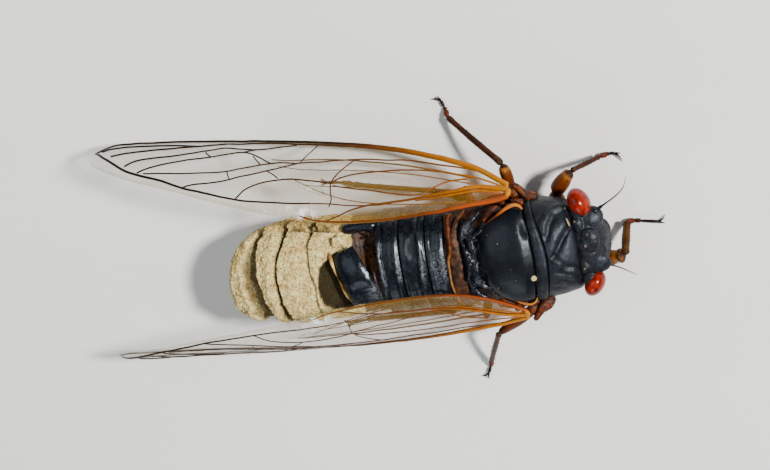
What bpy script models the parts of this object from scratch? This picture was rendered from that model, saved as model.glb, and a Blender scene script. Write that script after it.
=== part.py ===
# Periodical cicada, life size, standing on six legs with its wings folded like a roof
import math

import bmesh
import bpy
from mathutils import Vector

# Sizes in millimetres: X runs to the head, Y to the insect's left, Z up from the floor
MM = 0.001
GAP = 0.3
SLIVER = 0.004
SIDES = 34
RING_STEP = 0.42

HALF_WIDTH = 4.35
BODY_TOP = 8.4
BODY_BOTTOM = 1.5
HEAD_REAR = 5.55
EYE_CENTRE = (6.05, 3.45, 6.35)
EYE_RADII = (1.02, 1.05, 1.15)
OCELLUS_RADII = (0.22, 0.22, 0.2)
WING_WIDTH = 10.9
WING_HALF_THICK = 0.25
VEIN_HEIGHT = 0.2
VEIN_HALF_WIDTH = 0.24
HINDWING_REACH = 0.58
HINDWING_BAND = (0.14, 0.62)
HINDWING_INSET = 1.05
SOLE_HEIGHT = 0.2

LEFT_ANTENNA = [
    (6.9, 2.6, 6.2), (7.5, 2.95, 6.35), (8.2, 3.4, 6.5), (9.1, 4.0, 6.6), (9.85, 4.6, 6.7), (10.3, 5.45, 7.0),
]
RIGHT_ANTENNA = [
    (6.9, -2.0, 6.0), (7.5, -2.1, 5.9), (8.0, -2.25, 5.8), (8.6, -2.5, 5.7), (9.2, -2.95, 5.5), (9.7, -3.35, 5.2),
]

# Body outline along X: x, half width, side height, top, bottom, sweep of the sides, squareness
PRONOTUM = [
    (5.25, 3.55, 5.4, 7.55, 4.4, 0.1, 2.3),
    (4.7, 4.0, 5.4, 7.95, 4.4, 0.35, 2.3),
    (4.0, 4.2, 5.4, 8.3, 4.4, 0.7, 2.4),
    (3.35, 4.25, 5.4, 8.5, 4.4, 1.05, 2.5),
]
COLLAR = [
    (3.05, 4.35, 5.4, 8.6, 4.4, 1.1, 2.5),
    (2.6, 4.45, 5.4, 8.8, 4.4, 1.1, 2.5),
    (2.2, 4.45, 5.4, 8.7, 4.4, 1.1, 2.5),
]
MESONOTUM = [
    (1.9, 4.2, 6.8, 8.6, 5.9, 1.1, 2.1),
    (1.2, 4.25, 6.8, 8.9, 5.9, 0.9, 2.1),
    (0.0, 4.1, 6.8, 9.05, 5.9, 0.5, 2.1),
    (-1.3, 3.55, 6.8, 9.0, 5.9, 0.2, 2.1),
    (-2.3, 2.95, 6.8, 8.75, 5.9, 0.0, 2.1),
]
SCUTELLUM = [
    (-2.6, 2.7, 6.8, 8.7, 5.9, 0.0, 2.0),
    (-3.2, 2.75, 6.8, 8.75, 5.9, 0.0, 2.0),
    (-3.9, 2.9, 6.8, 8.3, 5.9, 0.0, 2.0),
]
METANOTUM = [
    (-4.2, 3.3, 6.8, 8.0, 5.9, 0.0, 2.2),
    (-4.55, 3.7, 6.8, 8.2, 5.9, 0.0, 2.2),
    (-4.9, 4.0, 6.8, 7.9, 5.9, 0.0, 2.2),
]
PROTHORAX_UNDERSIDE = [
    (5.2, 2.9, 3.4, 4.1, 2.5, 0.0, 2.6),
    (3.6, 3.3, 3.2, 4.1, 2.1, 0.6, 2.6),
    (2.2, 3.7, 3.2, 4.1, 1.9, 1.1, 2.6),
]
THORAX_UNDERSIDE = [
    (1.85, 3.9, 4.4, 5.6, 1.9, 1.1, 2.6),
    (-1.0, 4.2, 4.4, 5.6, 1.7, 0.4, 2.6),
    (-4.9, 4.3, 4.4, 5.6, 1.6, 0.0, 2.6),
]
ABDOMEN_BREAKS = [(-5.2, -6.85), (-7.15, -9.1), (-9.4, -11.2)]
HOLLOW_BREAK = (-11.5, -13.2)
HOLLOW_FLOOR = 6.4
PLUG = [
    (-13.5, 4.2, 4.9, 8.1, 1.7, 0.0, 2.4),
    (-15.5, 4.4, 4.9, 8.35, 1.5, 0.0, 2.5),
    (-19.0, 4.5, 4.9, 8.4, 1.4, 0.0, 2.5),
    (-22.0, 4.4, 4.9, 8.2, 1.4, 0.0, 2.5),
    (-24.2, 3.95, 4.9, 7.7, 1.7, 0.0, 2.5),
    (-25.4, 3.0, 4.9, 6.9, 2.6, 0.0, 2.4),
    (-25.9, 1.9, 4.9, 6.1, 3.6, 0.0, 2.2),
]
# Grooves across the plug: place, half width and depth; then the lumps along its left side
PLUG_GROOVES = [(-17.5, 0.32, 0.25), (-20.2, 0.38, 0.28), (-23.3, 0.4, 0.5)]
PLUG_LUMPS = [
    ((-15.6, 4.1, 6.0), (1.5, 0.75, 0.9)),
    ((-18.4, 4.2, 6.0), (1.1, 0.8, 0.9)),
    ((-21.3, 4.0, 6.0), (1.1, 0.75, 0.9)),
]

# Wing poses: share of the length, then the leading edge's x, y, z and the roof angle in degrees
LEFT_EDGE = [
    (0.0, 0.5, 5.75, 6.9, 40.0),
    (0.1, -3.1, 7.25, 4.45, 52.0),
    (0.28, -10.4, 9.15, 2.1, 58.0),
    (0.5, -18.6, 10.45, 1.3, 65.0),
    (0.75, -28.3, 11.65, 1.5, 74.0),
    (0.92, -34.9, 12.0, 2.9, 76.0),
    (1.0, -37.2, 11.6, 4.6, 77.0),
]
RIGHT_EDGE = [
    (0.0, 0.45, 5.5, 6.8, 40.0),
    (0.1, -3.3, 6.5, 4.7, 46.0),
    (0.28, -10.8, 7.75, 2.2, 52.5),
    (0.5, -19.3, 8.0, 1.3, 59.5),
    (0.75, -29.2, 7.2, 1.5, 68.0),
    (0.92, -35.9, 6.5, 2.9, 74.0),
    (1.0, -38.2, 6.0, 4.5, 76.0),
]
WIDEST_SHARE = 0.46
# Main veins of the forewing, from the leading edge inwards: share of the length, share of the width
VEIN_TRACKS = [
    [(0.0, 0.0), (1.0, 0.0)],
    [(0.0, 0.08), (0.3, 0.12), (0.58, 0.2), (0.7, 0.32), (0.76, 0.44), (0.87, 0.48), (1.0, 0.4)],
    [(0.0, 0.16), (0.17, 0.18), (0.28, 0.23), (0.41, 0.32), (0.54, 0.43), (0.63, 0.58), (0.82, 0.68), (1.0, 0.6)],
    [(0.0, 0.26), (0.11, 0.32), (0.22, 0.35), (0.3, 0.42), (0.39, 0.57), (0.5, 0.63), (0.62, 0.77), (0.75, 0.83),
     (1.0, 0.74)],
    [(0.0, 0.36), (0.07, 0.55), (0.13, 0.66), (0.2, 0.74), (0.3, 0.79), (0.4, 0.83), (0.67, 0.93), (0.8, 0.93),
     (1.0, 0.87)],
    [(0.0, 1.0), (1.0, 1.0)],
]
HINDWING_TRACKS = [[(0.0, place), (1.0, place)] for place in (0.0, 0.34, 0.68, 1.0)]
WING_ROWS = 26
HINDWING_ROWS = 12


def clear_scene():
    for obj in list(bpy.data.objects):
        bpy.data.objects.remove(obj)


def make_collection(name):
    collection = bpy.data.collections.new(name)
    bpy.context.scene.collection.children.link(collection)
    return collection


def make_material(name, colour, roughness, metallic=0.0):
    material = bpy.data.materials.new(name)
    material.use_nodes = True
    shader = material.node_tree.nodes["Principled BSDF"]
    shader.inputs["Base Color"].default_value = (*colour, 1.0)
    shader.inputs["Roughness"].default_value = roughness
    shader.inputs["Metallic"].default_value = metallic
    return material


def finish_mesh(bm, name, collection, material=None):
    bmesh.ops.recalc_face_normals(bm, faces=bm.faces)
    mesh = bpy.data.meshes.new(name)
    bm.to_mesh(mesh)
    bm.free()
    mesh.shade_smooth()
    mesh.set_sharp_from_angle(angle=math.radians(40))
    obj = bpy.data.objects.new(name, mesh)
    collection.objects.link(obj)
    if material:
        mesh.materials.append(material)
    return obj


def smooth_value(stations, at, column):
    """Value of a column at one place, on a smooth curve through the stations."""
    keys = [row[0] for row in stations]
    values = [row[column] for row in stations]
    if keys[0] > keys[-1]:
        keys.reverse()
        values.reverse()
    at = min(max(at, keys[0]), keys[-1])
    i = max(k for k in range(len(keys) - 1) if keys[k] <= at)
    span = keys[i + 1] - keys[i]

    def slope(k):
        low, high = max(k - 1, 0), min(k + 1, len(keys) - 1)
        return (values[high] - values[low]) / (keys[high] - keys[low])

    t = (at - keys[i]) / span
    rise = values[i] * (2 * t**3 - 3 * t**2 + 1) + values[i + 1] * (3 * t**2 - 2 * t**3)
    return rise + span * (slope(i) * (t**3 - 2 * t**2 + t) + slope(i + 1) * (t**3 - t**2))


def hump(distance, half_width):
    """Round bump that is 1 at the centre and 0 at its half width."""
    share = min(abs(distance) / half_width, 1.0)
    return (1 + math.cos(math.pi * share)) / 2


def join_rings(bm, rings):
    for first, second in zip(rings, rings[1:]):
        for i in range(len(first)):
            j = (i + 1) % len(first)
            bm.faces.new((first[i], first[j], second[j], second[i]))


def body_piece(name, stations, collection, material, sculpt=None, sides=SIDES, step=RING_STEP):
    """Loft of rounded cross-sections along X, with a relief that pushes its points outwards."""
    bm = bmesh.new()
    front, rear = stations[0][0], stations[-1][0]
    count = max(2, round(abs(rear - front) / step)) + 1
    rings = []
    for k in range(count):
        x = front + (rear - front) * k / (count - 1)
        half, middle, top, bottom, sweep, square = (smooth_value(stations, x, c) for c in range(1, 7))
        ring = []
        for i in range(sides):
            turn = math.tau * (i + 0.5) / sides
            across = math.copysign(abs(math.cos(turn)) ** (2 / square), math.cos(turn))
            rise = abs(math.sin(turn)) ** (2 / square)
            up = (top - middle) * rise if math.sin(turn) > 0 else (bottom - middle) * rise
            point = Vector((x - sweep * across**2, half * across, middle + up))
            if sculpt and 0 < k < count - 1:
                outward = Vector((0.0, across, rise if math.sin(turn) > 0 else -rise)).normalized()
                point += outward * sculpt(point.x, point.y, point.z)
            ring.append(bm.verts.new(point * MM))
        rings.append(ring)
    join_rings(bm, rings)
    for ring in (rings[0], rings[-1]):
        for i in range(sides // 2 - 1):
            bm.faces.new((ring[i], ring[i + 1], ring[sides - 2 - i], ring[sides - 1 - i]))
    return finish_mesh(bm, name, collection, material)


def ellipsoid(name, centre, radii, collection, material=None, segments=16, rings=10):
    bm = bmesh.new()
    bmesh.ops.create_uvsphere(bm, u_segments=segments, v_segments=rings, radius=1.0)
    bmesh.ops.scale(bm, vec=Vector(radii) * MM, verts=bm.verts)
    bmesh.ops.translate(bm, vec=Vector(centre) * MM, verts=bm.verts)
    return finish_mesh(bm, name, collection, material)


def limb(name, path, radii, collection, material=None, detail=1):
    """Round tapered tube along a path, with closed ends."""
    curve = bpy.data.curves.new(name, "CURVE")
    curve.dimensions = "3D"
    curve.bevel_depth = MM
    curve.bevel_resolution = detail
    curve.use_fill_caps = True
    spline = curve.splines.new("POLY")
    spline.points.add(len(path) - 1)
    for point, place, radius in zip(spline.points, path, radii):
        point.co = (*(Vector(place) * MM), 1.0)
        point.radius = radius
    source = bpy.data.objects.new(name + "_curve", curve)
    collection.objects.link(source)
    bpy.context.view_layer.update()
    graph = bpy.context.evaluated_depsgraph_get()
    mesh = bpy.data.meshes.new_from_object(source.evaluated_get(graph))
    bpy.data.objects.remove(source)
    bm = bmesh.new()
    bm.from_mesh(mesh)
    bpy.data.meshes.remove(mesh)
    bmesh.ops.remove_doubles(bm, verts=bm.verts, dist=0.00001)
    return finish_mesh(bm, name, collection, material)


def keep_largest(mesh):
    """Only the largest closed surface of the mesh stays."""
    bm = bmesh.new()
    bm.from_mesh(mesh)
    left, groups = set(bm.verts), []
    while left:
        stack = [left.pop()]
        group = set(stack)
        while stack:
            for edge in stack.pop().link_edges:
                for vert in edge.verts:
                    if vert in left:
                        left.remove(vert)
                        group.add(vert)
                        stack.append(vert)
        groups.append(group)
    keep = max(groups, key=len)
    bmesh.ops.delete(bm, geom=[v for v in bm.verts if v not in keep], context="VERTS")
    bm.to_mesh(mesh)
    bmesh.ops.remove_doubles(bm, verts=bm.verts, dist=SLIVER * MM)
    bmesh.ops.dissolve_degenerate(bm, edges=bm.edges, dist=SLIVER * MM)
    if all(len(edge.link_faces) == 2 for edge in bm.edges):
        bm.to_mesh(mesh)
    bm.free()


def apply_modifiers(obj):
    bpy.context.view_layer.update()
    graph = bpy.context.evaluated_depsgraph_get()
    mesh = bpy.data.meshes.new_from_object(obj.evaluated_get(graph))
    obj.modifiers.clear()
    old = obj.data
    obj.data = mesh
    bpy.data.meshes.remove(old)
    keep_largest(obj.data)


def fuse(obj, pieces, solver="EXACT"):
    """One Boolean union of the object with its pieces, which are then removed."""
    group = bpy.data.collections.new(obj.name + "_pieces")
    for piece in pieces:
        group.objects.link(piece)
    union = obj.modifiers.new("union", "BOOLEAN")
    union.operation = "UNION"
    union.operand_type = "COLLECTION"
    union.collection = group
    union.solver = solver
    apply_modifiers(obj)
    for piece in pieces:
        bpy.data.objects.remove(piece)
    bpy.data.collections.remove(group)
    return obj


def cut_clear(obj, neighbours, cutters, gap=GAP):
    """Trims the object so that it meets its neighbours' faces across a small gap.

    A swollen copy may fold over itself in a groove, so the cut takes the manifold solver.
    """
    for neighbour in neighbours:
        bm = bmesh.new()
        bm.from_mesh(neighbour.data)
        bm.normal_update()
        moves = [v.normal * (gap * MM * min(v.calc_shell_factor(), 1.6)) for v in bm.verts]
        for vert, move in zip(bm.verts, moves):
            vert.co += move
        cutter = finish_mesh(bm, "clearance", cutters)
        cut = obj.modifiers.new("cut", "BOOLEAN")
        cut.operation = "DIFFERENCE"
        cut.object = cutter
        cut.solver = "MANIFOLD"
        apply_modifiers(obj)
        bpy.data.objects.remove(cutter)
    return obj


def flatten_foot(obj):
    """Cuts the sole flat at the floor."""
    bm = bmesh.new()
    bm.from_mesh(obj.data)
    geometry = bm.verts[:] + bm.edges[:] + bm.faces[:]
    result = bmesh.ops.bisect_plane(bm, geom=geometry, plane_co=(0, 0, 0), plane_no=(0, 0, 1), clear_inner=True)
    rim = [e for e in result["geom_cut"] if isinstance(e, bmesh.types.BMEdge)]
    bmesh.ops.edgenet_fill(bm, edges=rim)
    bmesh.ops.recalc_face_normals(bm, faces=bm.faces)
    bm.to_mesh(obj.data)
    bm.free()
    return obj


def pronotum_relief(x, y, z):
    """Central lobe and the oblique furrows on either side of it."""
    if z < 6:
        return 0.0
    lobe = 0.18 * hump(y, 1.3) * hump(x - 5.0, 1.6)
    furrow = -0.25 * hump(abs(y) - (0.55 + 1.1 * (x - 3.5)), 0.45)
    ridge = 0.15 * hump(abs(y) - 2.9, 0.6)
    return lobe + furrow + ridge


def mesonotum_relief(x, y, z):
    """Raised side margins in front of the cross-shaped scutellum."""
    return 0.1 * hump(abs(y) - 3.6, 0.5) if z > 6.9 else 0.0


def scutellum_relief(x, y, z):
    """The cross-shaped ridge between the wings."""
    if z < 6.9:
        return 0.0
    arm = abs(y) - 1.5 * abs(x + 3.2)
    return 0.32 * hump(arm, 0.7) - 0.25 * hump(abs(y) - 1.7, 0.7)


def tergite_relief(x, y, z):
    """Rear margin that stands up, and a shallow groove across the middle."""
    return 0.0 if z < 4.9 else 0.1 * math.cos(2.6 * x + 0.35 * y)


def plug_relief(x, y, z):
    """Grooves between the bands of the crumbly plug, with an uneven surface."""
    dip = sum(-depth * hump(x - at + 0.06 * y, width) for at, width, depth in PLUG_GROOVES)
    grain = 0.07 * math.sin(3.1 * x + 1.7 * y) * math.cos(2.3 * y - 1.9 * z)
    return dip + grain


def build_head(parts, cutters, black):
    stations = [
        (HEAD_REAR, 3.3, 6.0, 7.45, 3.1, 0.0, 2.3),
        (6.1, 3.45, 6.1, 7.65, 2.9, 0.0, 2.2),
        (6.7, 3.0, 6.0, 7.5, 2.9, 0.0, 2.2),
        (7.25, 2.2, 5.8, 7.0, 3.1, 0.0, 2.1),
        (7.6, 1.3, 5.6, 6.5, 3.4, 0.0, 2.0),
    ]
    head = body_piece("head", stations, parts, black, sides=28)
    pieces = [ellipsoid("clypeus", (6.55, 0, 4.95), (1.5, 1.55, 2.3), cutters, segments=20, rings=14)]
    for side in (1, -1):
        pieces.append(ellipsoid("lobe", (6.75, side * 2.05, 6.55), (0.95, 0.85, 0.6), cutters, None, 12, 8))
        pieces.append(ellipsoid("ocellus", (6.15, side * 0.5, 7.62), OCELLUS_RADII, cutters, None, 8, 6))
    pieces.append(ellipsoid("ocellus", (6.65, 0, 7.5), OCELLUS_RADII, cutters, None, 8, 6))
    return fuse(head, pieces)


def build_eye(name, side, neighbours, parts, cutters, red):
    centre = (EYE_CENTRE[0], side * EYE_CENTRE[1], EYE_CENTRE[2])
    eye = ellipsoid(name, centre, EYE_RADII, parts, red, segments=18, rings=12)
    return cut_clear(eye, neighbours, cutters)


def build_antenna(name, path, head, parts, cutters, black):
    radii = [0.34, 0.3, 0.26, 0.25, 0.2, 0.12]
    antenna = limb(name, path, radii, parts, black)
    return cut_clear(antenna, [head], cutters)


def build_rostrum(head, neighbours, parts, cutters, brown):
    path = [(6.1, 0, 3.2), (5.2, 0, 2.2), (3.6, 0, 1.45), (1.2, 0, 1.15), (-0.6, 0, 1.05)]
    radii = [0.75, 0.55, 0.38, 0.32, 0.15]
    rostrum = limb("rostrum", path, radii, parts, brown, detail=2)
    return cut_clear(rostrum, [head] + neighbours, cutters)


def wing_width(share):
    """Width of the wing across its length: it swells to the widest place and rounds off at the tip."""
    if share < WIDEST_SHARE:
        return 1.0 + (WING_WIDTH - 1.0) * math.sin(math.pi / 2 * share / WIDEST_SHARE) ** 0.95
    t = (share - WIDEST_SHARE) / (1 - WIDEST_SHARE)
    return WING_WIDTH * max(1 - t**1.8, 0.0) ** 0.62


def wing_point(edge, side, share, across, inset=0.0):
    """Place on the middle surface of a wing, and the direction that faces out of it."""
    x, y, z, angle = (smooth_value(edge, share, c) for c in range(1, 5))
    angle = math.radians(angle)
    width = wing_width(share)
    slope = Vector((0.06, -side * math.cos(angle), math.sin(angle)))
    outward = Vector((0.0, side * math.sin(angle), math.cos(angle)))
    camber = 0.09 * width * math.sin(math.pi * across)
    place = Vector((x, side * y, z)) + slope * (width * across) + outward * (camber - inset)
    return place, outward


def wing_columns(share, width, tracks):
    """Places across the wing: each vein has a foot, a crest and a foot, with the membrane between."""
    columns = []
    foot = min(VEIN_HALF_WIDTH / max(width, 0.1), 0.4 / len(tracks) / 2)
    for k, track in enumerate(tracks):
        place = smooth_value(track, share, 1)
        if k > 0:
            columns.append((place - foot, 0.0))
        columns.append((place, 1.0))
        if k < len(tracks) - 1:
            columns.append((place + foot, 0.0))
    return columns


def build_wing(name, edge, side, parts, material, hind=False):
    """Thin curved wing with its main veins raised on the outer face, split alike on both faces."""
    bm = bmesh.new()
    tracks, rows = (HINDWING_TRACKS, HINDWING_ROWS) if hind else (VEIN_TRACKS, WING_ROWS)
    faces_out, faces_in = [], []
    first_share, last_share, inset = (0.09, HINDWING_REACH, HINDWING_INSET) if hind else (0.0, 1.0, 0.0)
    for r in range(rows + 1):
        share = first_share + (last_share - first_share) * (r / rows) ** 0.9 * 0.985
        start, band = 0.0, 1.0
        if hind:
            start, band = HINDWING_BAND[0], HINDWING_BAND[1] * math.sqrt(max(1 - (r / rows) ** 3, 0.02))
        out_row, in_row = [], []
        for across, crest in wing_columns(share, wing_width(share) * band, tracks):
            place, outward = wing_point(edge, side, share, start + band * across, inset)
            rise = WING_HALF_THICK + VEIN_HEIGHT * crest
            out_row.append(bm.verts.new((place + outward * rise) * MM))
            in_row.append(bm.verts.new((place - outward * WING_HALF_THICK) * MM))
        faces_out.append(out_row)
        faces_in.append(in_row)
    for layer, flip in ((faces_out, False), (faces_in, True)):
        for first, second in zip(layer, layer[1:]):
            for i in range(len(first) - 1):
                a, b, c, d = first[i], first[i + 1], second[i + 1], second[i]
                bm.faces.new((a, c, b) if flip else (a, b, c))
                bm.faces.new((a, d, c) if flip else (a, c, d))
    rim_out = [row[0] for row in faces_out] + faces_out[-1][1:] + [row[-1] for row in reversed(faces_out[:-1])]
    rim_in = [row[0] for row in faces_in] + faces_in[-1][1:] + [row[-1] for row in reversed(faces_in[:-1])]
    rim_out += list(reversed(faces_out[0]))[1:-1]
    rim_in += list(reversed(faces_in[0]))[1:-1]
    for i in range(len(rim_out)):
        j = (i + 1) % len(rim_out)
        bm.faces.new((rim_out[i], rim_out[j], rim_in[j]))
        bm.faces.new((rim_out[i], rim_in[j], rim_in[i]))
    return finish_mesh(bm, name, parts, material)


def build_wings(torso, abdomen, parts, cutters, amber):
    for word, edge, side in (("left", LEFT_EDGE, 1), ("right", RIGHT_EDGE, -1)):
        wing = build_wing("forewing_" + word, edge, side, parts, amber)
        hinge = [(0.9, 3.9, 7.0), (0.5, 5.0, 7.15), (-0.3, 5.35, 7.1), (-1.2, 5.3, 7.0)]
        root = limb("root", [(x, side * y, z) for x, y, z in hinge], [0.75, 0.7, 0.6, 0.4], cutters)
        fuse(wing, [root], "MANIFOLD")
        cut_clear(wing, torso, cutters)
        hind = build_wing("hindwing_" + word, edge, side, parts, amber, hind=True)
        root = limb("root", [(-3.2, side * 3.8, 4.8), (-3.5, side * 5.6, 5.0)], [0.6, 0.5], cutters)
        fuse(hind, [root], "MANIFOLD")
        cut_clear(hind, abdomen + torso + [wing], cutters)


def build_leg(word, side, spec, roots, parts, cutters, orange, dark):
    """Coxa with femur, tibia and tarsus, each its own node, meeting at the knee and the ankle."""
    def place(point):
        return (point[0], side * point[1], point[2])

    hip, thigh, knee, ankle, toe = (place(spec[key]) for key in ("hip", "thigh", "knee", "ankle", "toe"))
    thick = spec["thick"]
    femur = limb(
        "leg_%s_femur" % word, [hip, thigh, knee], [thick * 0.95, thick, thick * 0.62], parts, orange, detail=2
    )
    for share, length in spec.get("spines", []):
        base = Vector(thigh).lerp(Vector(knee), share)
        tip = base + Vector((0.25, 0.0, -thick - length))
        fuse(femur, [limb("spine", [base, base.lerp(tip, 0.55), tip], [0.3, 0.24, 0.08], cutters)])
    cut_clear(femur, roots, cutters)
    tibia = limb("leg_%s_tibia" % word, [knee, Vector(knee).lerp(Vector(ankle), 0.5), ankle],
                 [0.36, 0.3, 0.34], parts, dark)
    cut_clear(tibia, [femur], cutters)
    heel = Vector(ankle)
    ball = Vector((*(heel.lerp(Vector(toe), 0.4)).xy, SOLE_HEIGHT))
    tarsus = limb("leg_%s_tarsus" % word, [heel, ball, Vector((toe[0], toe[1], SOLE_HEIGHT))],
                  [0.32, 0.34, 0.32], parts, dark, detail=2)
    flatten_foot(tarsus)
    cut_clear(tarsus, [tibia], cutters)


def build_legs(underside, head, parts, cutters, orange, dark):
    front_spines = [(0.45, 0.35), (0.75, 0.3)]
    legs = {
        "front_left": (1, {"hip": (3.3, 2.2, 2.6), "thigh": (3.3, 3.9, 3.2), "knee": (5.1, 5.7, 3.7),
                           "ankle": (7.0, 6.0, 0.7), "toe": (8.5, 6.05, 0.3), "thick": 0.62,
                           "spines": front_spines}),
        "front_right": (-1, {"hip": (3.3, 2.2, 2.6), "thigh": (5.4, 2.5, 2.0), "knee": (8.5, 2.15, 3.1),
                             "ankle": (8.5, -0.25, 0.8), "toe": (11.4, -0.1, 0.3), "thick": 0.6,
                             "spines": front_spines}),
        "middle_left": (1, {"hip": (0.2, 2.6, 2.2), "thigh": (0.1, 5.2, 3.6), "knee": (-0.5, 7.2, 4.7),
                            "ankle": (-5.4, 10.95, 0.75), "toe": (-6.3, 12.35, 0.3), "thick": 0.5}),
        "middle_right": (-1, {"hip": (0.2, 2.6, 2.2), "thigh": (-0.4, 4.9, 3.4), "knee": (-2.85, 7.1, 4.3),
                              "ankle": (-5.2, 10.3, 0.8), "toe": (-5.6, 12.2, 0.3), "thick": 0.5}),
        "hind_left": (1, {"hip": (-3.0, 2.2, 2.2), "thigh": (-3.6, 4.0, 2.4), "knee": (-6.8, 5.7, 3.5),
                          "ankle": (-14.8, 6.5, 0.8), "toe": (-17.1, 6.7, 0.3), "thick": 0.45}),
        "hind_right": (-1, {"hip": (-3.0, 2.2, 2.2), "thigh": (-3.6, 4.0, 2.4), "knee": (-6.8, 5.5, 3.3),
                            "ankle": (-14.8, 6.1, 0.8), "toe": (-17.1, 6.3, 0.3), "thick": 0.45}),
    }
    for word, (side, spec) in legs.items():
        build_leg(word, side, spec, underside + [head], parts, cutters, orange, dark)


def abdomen_stations(front, rear):
    return [
        (front, HALF_WIDTH, 4.9, BODY_TOP - 0.1, BODY_BOTTOM, 0.0, 2.3),
        ((front + rear) / 2, HALF_WIDTH + 0.08, 4.9, BODY_TOP, BODY_BOTTOM, 0.0, 2.3),
        (rear, HALF_WIDTH, 4.9, BODY_TOP - 0.05, BODY_BOTTOM, 0.0, 2.3),
    ]


def build_abdomen(parts, black, brown):
    pieces = []
    for number, (front, rear) in enumerate(ABDOMEN_BREAKS, start=3):
        name = "abdomen_segment_%d" % number
        pieces.append(body_piece(name, abdomen_stations(front, rear), parts, black, tergite_relief))
    front, rear = HOLLOW_BREAK
    hollow = [
        (front, HALF_WIDTH - 0.1, 4.9, HOLLOW_FLOOR + 0.4, BODY_BOTTOM, 0.0, 2.6),
        ((front + rear) / 2, HALF_WIDTH - 0.2, 4.9, HOLLOW_FLOOR, BODY_BOTTOM, 0.0, 2.6),
        (rear, HALF_WIDTH - 0.1, 4.9, HOLLOW_FLOOR + 0.3, BODY_BOTTOM, 0.0, 2.6),
    ]
    pieces.append(body_piece("abdomen_hollow", hollow, parts, brown))
    return pieces


def build_plug(parts, cutters, cream):
    plug = body_piece("spore_plug", PLUG, parts, cream, plug_relief, sides=36, step=0.5)
    pieces = [ellipsoid("lump", centre, radii, cutters, None, 12, 8) for centre, radii in PLUG_LUMPS]
    return fuse(plug, pieces)


def build_flap(neighbours, parts, cutters, black):
    """Loose tergite: an arched plate that leans across the hollow, tilted to the right."""
    bm = bmesh.new()
    long_steps, wide_steps = 10, 4
    thickness = 0.6
    centre, half_long, half_wide = Vector((-12.75, -0.2, 8.25)), 2.6, 0.95
    along = Vector((0.42, -0.9, -0.08)).normalized()
    across = Vector((0.9, 0.42, 0.1)).normalized()
    up = across.cross(-along).normalized()
    if up.z < 0:
        up = -up
    sheets = []
    for offset in (0.0, thickness):
        grid = []
        for i in range(long_steps + 1):
            u = 2 * i / long_steps - 1
            row = []
            for j in range(wide_steps + 1):
                v = 2 * j / wide_steps - 1
                arch = 0.9 * (1 - u * u) + 0.15 * (1 - v * v)
                place = centre + along * (u * half_long) + across * (v * half_wide) + up * (arch + offset)
                row.append(bm.verts.new(place * MM))
            grid.append(row)
        sheets.append(grid)
    for grid in sheets:
        for first, second in zip(grid, grid[1:]):
            for j in range(wide_steps):
                bm.faces.new((first[j], first[j + 1], second[j + 1]))
                bm.faces.new((first[j], second[j + 1], second[j]))
    rims = []
    for grid in sheets:
        rim = list(grid[0]) + [row[-1] for row in grid[1:]]
        rim += list(reversed(grid[-1]))[1:] + [row[0] for row in reversed(grid[1:-1])]
        rims.append(rim)
    for i in range(len(rims[0])):
        j = (i + 1) % len(rims[0])
        bm.faces.new((rims[0][i], rims[0][j], rims[1][j], rims[1][i]))
    flap = finish_mesh(bm, "loose_tergite", parts, black)
    return cut_clear(flap, neighbours, cutters)


def set_on_floor(parts):
    """Moves the whole insect so that the middle of its footprint is the origin."""
    corners = [obj.matrix_world @ vert.co for obj in parts.objects for vert in obj.data.vertices]
    low = [min(corner[axis] for corner in corners) for axis in range(3)]
    high = [max(corner[axis] for corner in corners) for axis in range(3)]
    shift = Vector(((low[0] + high[0]) / 2, (low[1] + high[1]) / 2, low[2]))
    for obj in parts.objects:
        for vert in obj.data.vertices:
            vert.co -= shift


def main():
    clear_scene()
    parts = make_collection("periodical_cicada")
    cutters = make_collection("cutters")
    black = make_material("black_cuticle", (0.012, 0.013, 0.018), 0.25)
    red = make_material("red_eye", (0.6, 0.02, 0.01), 0.15)
    orange = make_material("orange_leg", (0.55, 0.15, 0.02), 0.35)
    dark = make_material("dark_leg", (0.2, 0.04, 0.015), 0.35)
    brown = make_material("brown_lining", (0.16, 0.06, 0.02), 0.6)
    amber = make_material("amber_wing", (0.5, 0.25, 0.06), 0.3)
    cream = make_material("cream_plug", (0.72, 0.62, 0.42), 0.9)

    pronotum = body_piece("pronotum", PRONOTUM, parts, black, pronotum_relief)
    prothorax = body_piece("prothorax_underside", PROTHORAX_UNDERSIDE, parts, brown, sides=24, step=0.8)
    head = cut_clear(build_head(parts, cutters, black), [pronotum, prothorax], cutters)
    build_eye("eye_left", 1, [head, pronotum], parts, cutters, red)
    build_eye("eye_right", -1, [head, pronotum], parts, cutters, red)
    collar = body_piece("pronotal_collar", COLLAR, parts, black, step=0.3)
    mesonotum = body_piece("mesonotum", MESONOTUM, parts, black, mesonotum_relief)
    scutellum = body_piece("scutellum", SCUTELLUM, parts, black, scutellum_relief, step=0.3)
    metanotum = body_piece("metanotum", METANOTUM, parts, brown, step=0.3)
    thorax = body_piece("thorax_underside", THORAX_UNDERSIDE, parts, brown, sides=24, step=1.1)
    abdomen = build_abdomen(parts, black, brown)
    abdomen.append(build_plug(parts, cutters, cream))
    build_flap(abdomen, parts, cutters, black)
    build_antenna("antenna_left", LEFT_ANTENNA, head, parts, cutters, black)
    build_antenna("antenna_right", RIGHT_ANTENNA, head, parts, cutters, black)
    build_rostrum(head, [prothorax, thorax], parts, cutters, brown)
    build_wings([mesonotum, thorax, collar, scutellum, metanotum], abdomen, parts, cutters, amber)
    build_legs([prothorax, thorax, pronotum, collar], head, parts, cutters, orange, dark)
    set_on_floor(parts)


main()
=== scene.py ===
import functools
import math
import random

import bmesh
import bpy
from mathutils import Euler, Matrix, Vector, noise
from mathutils.bvhtree import BVHTree


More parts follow.
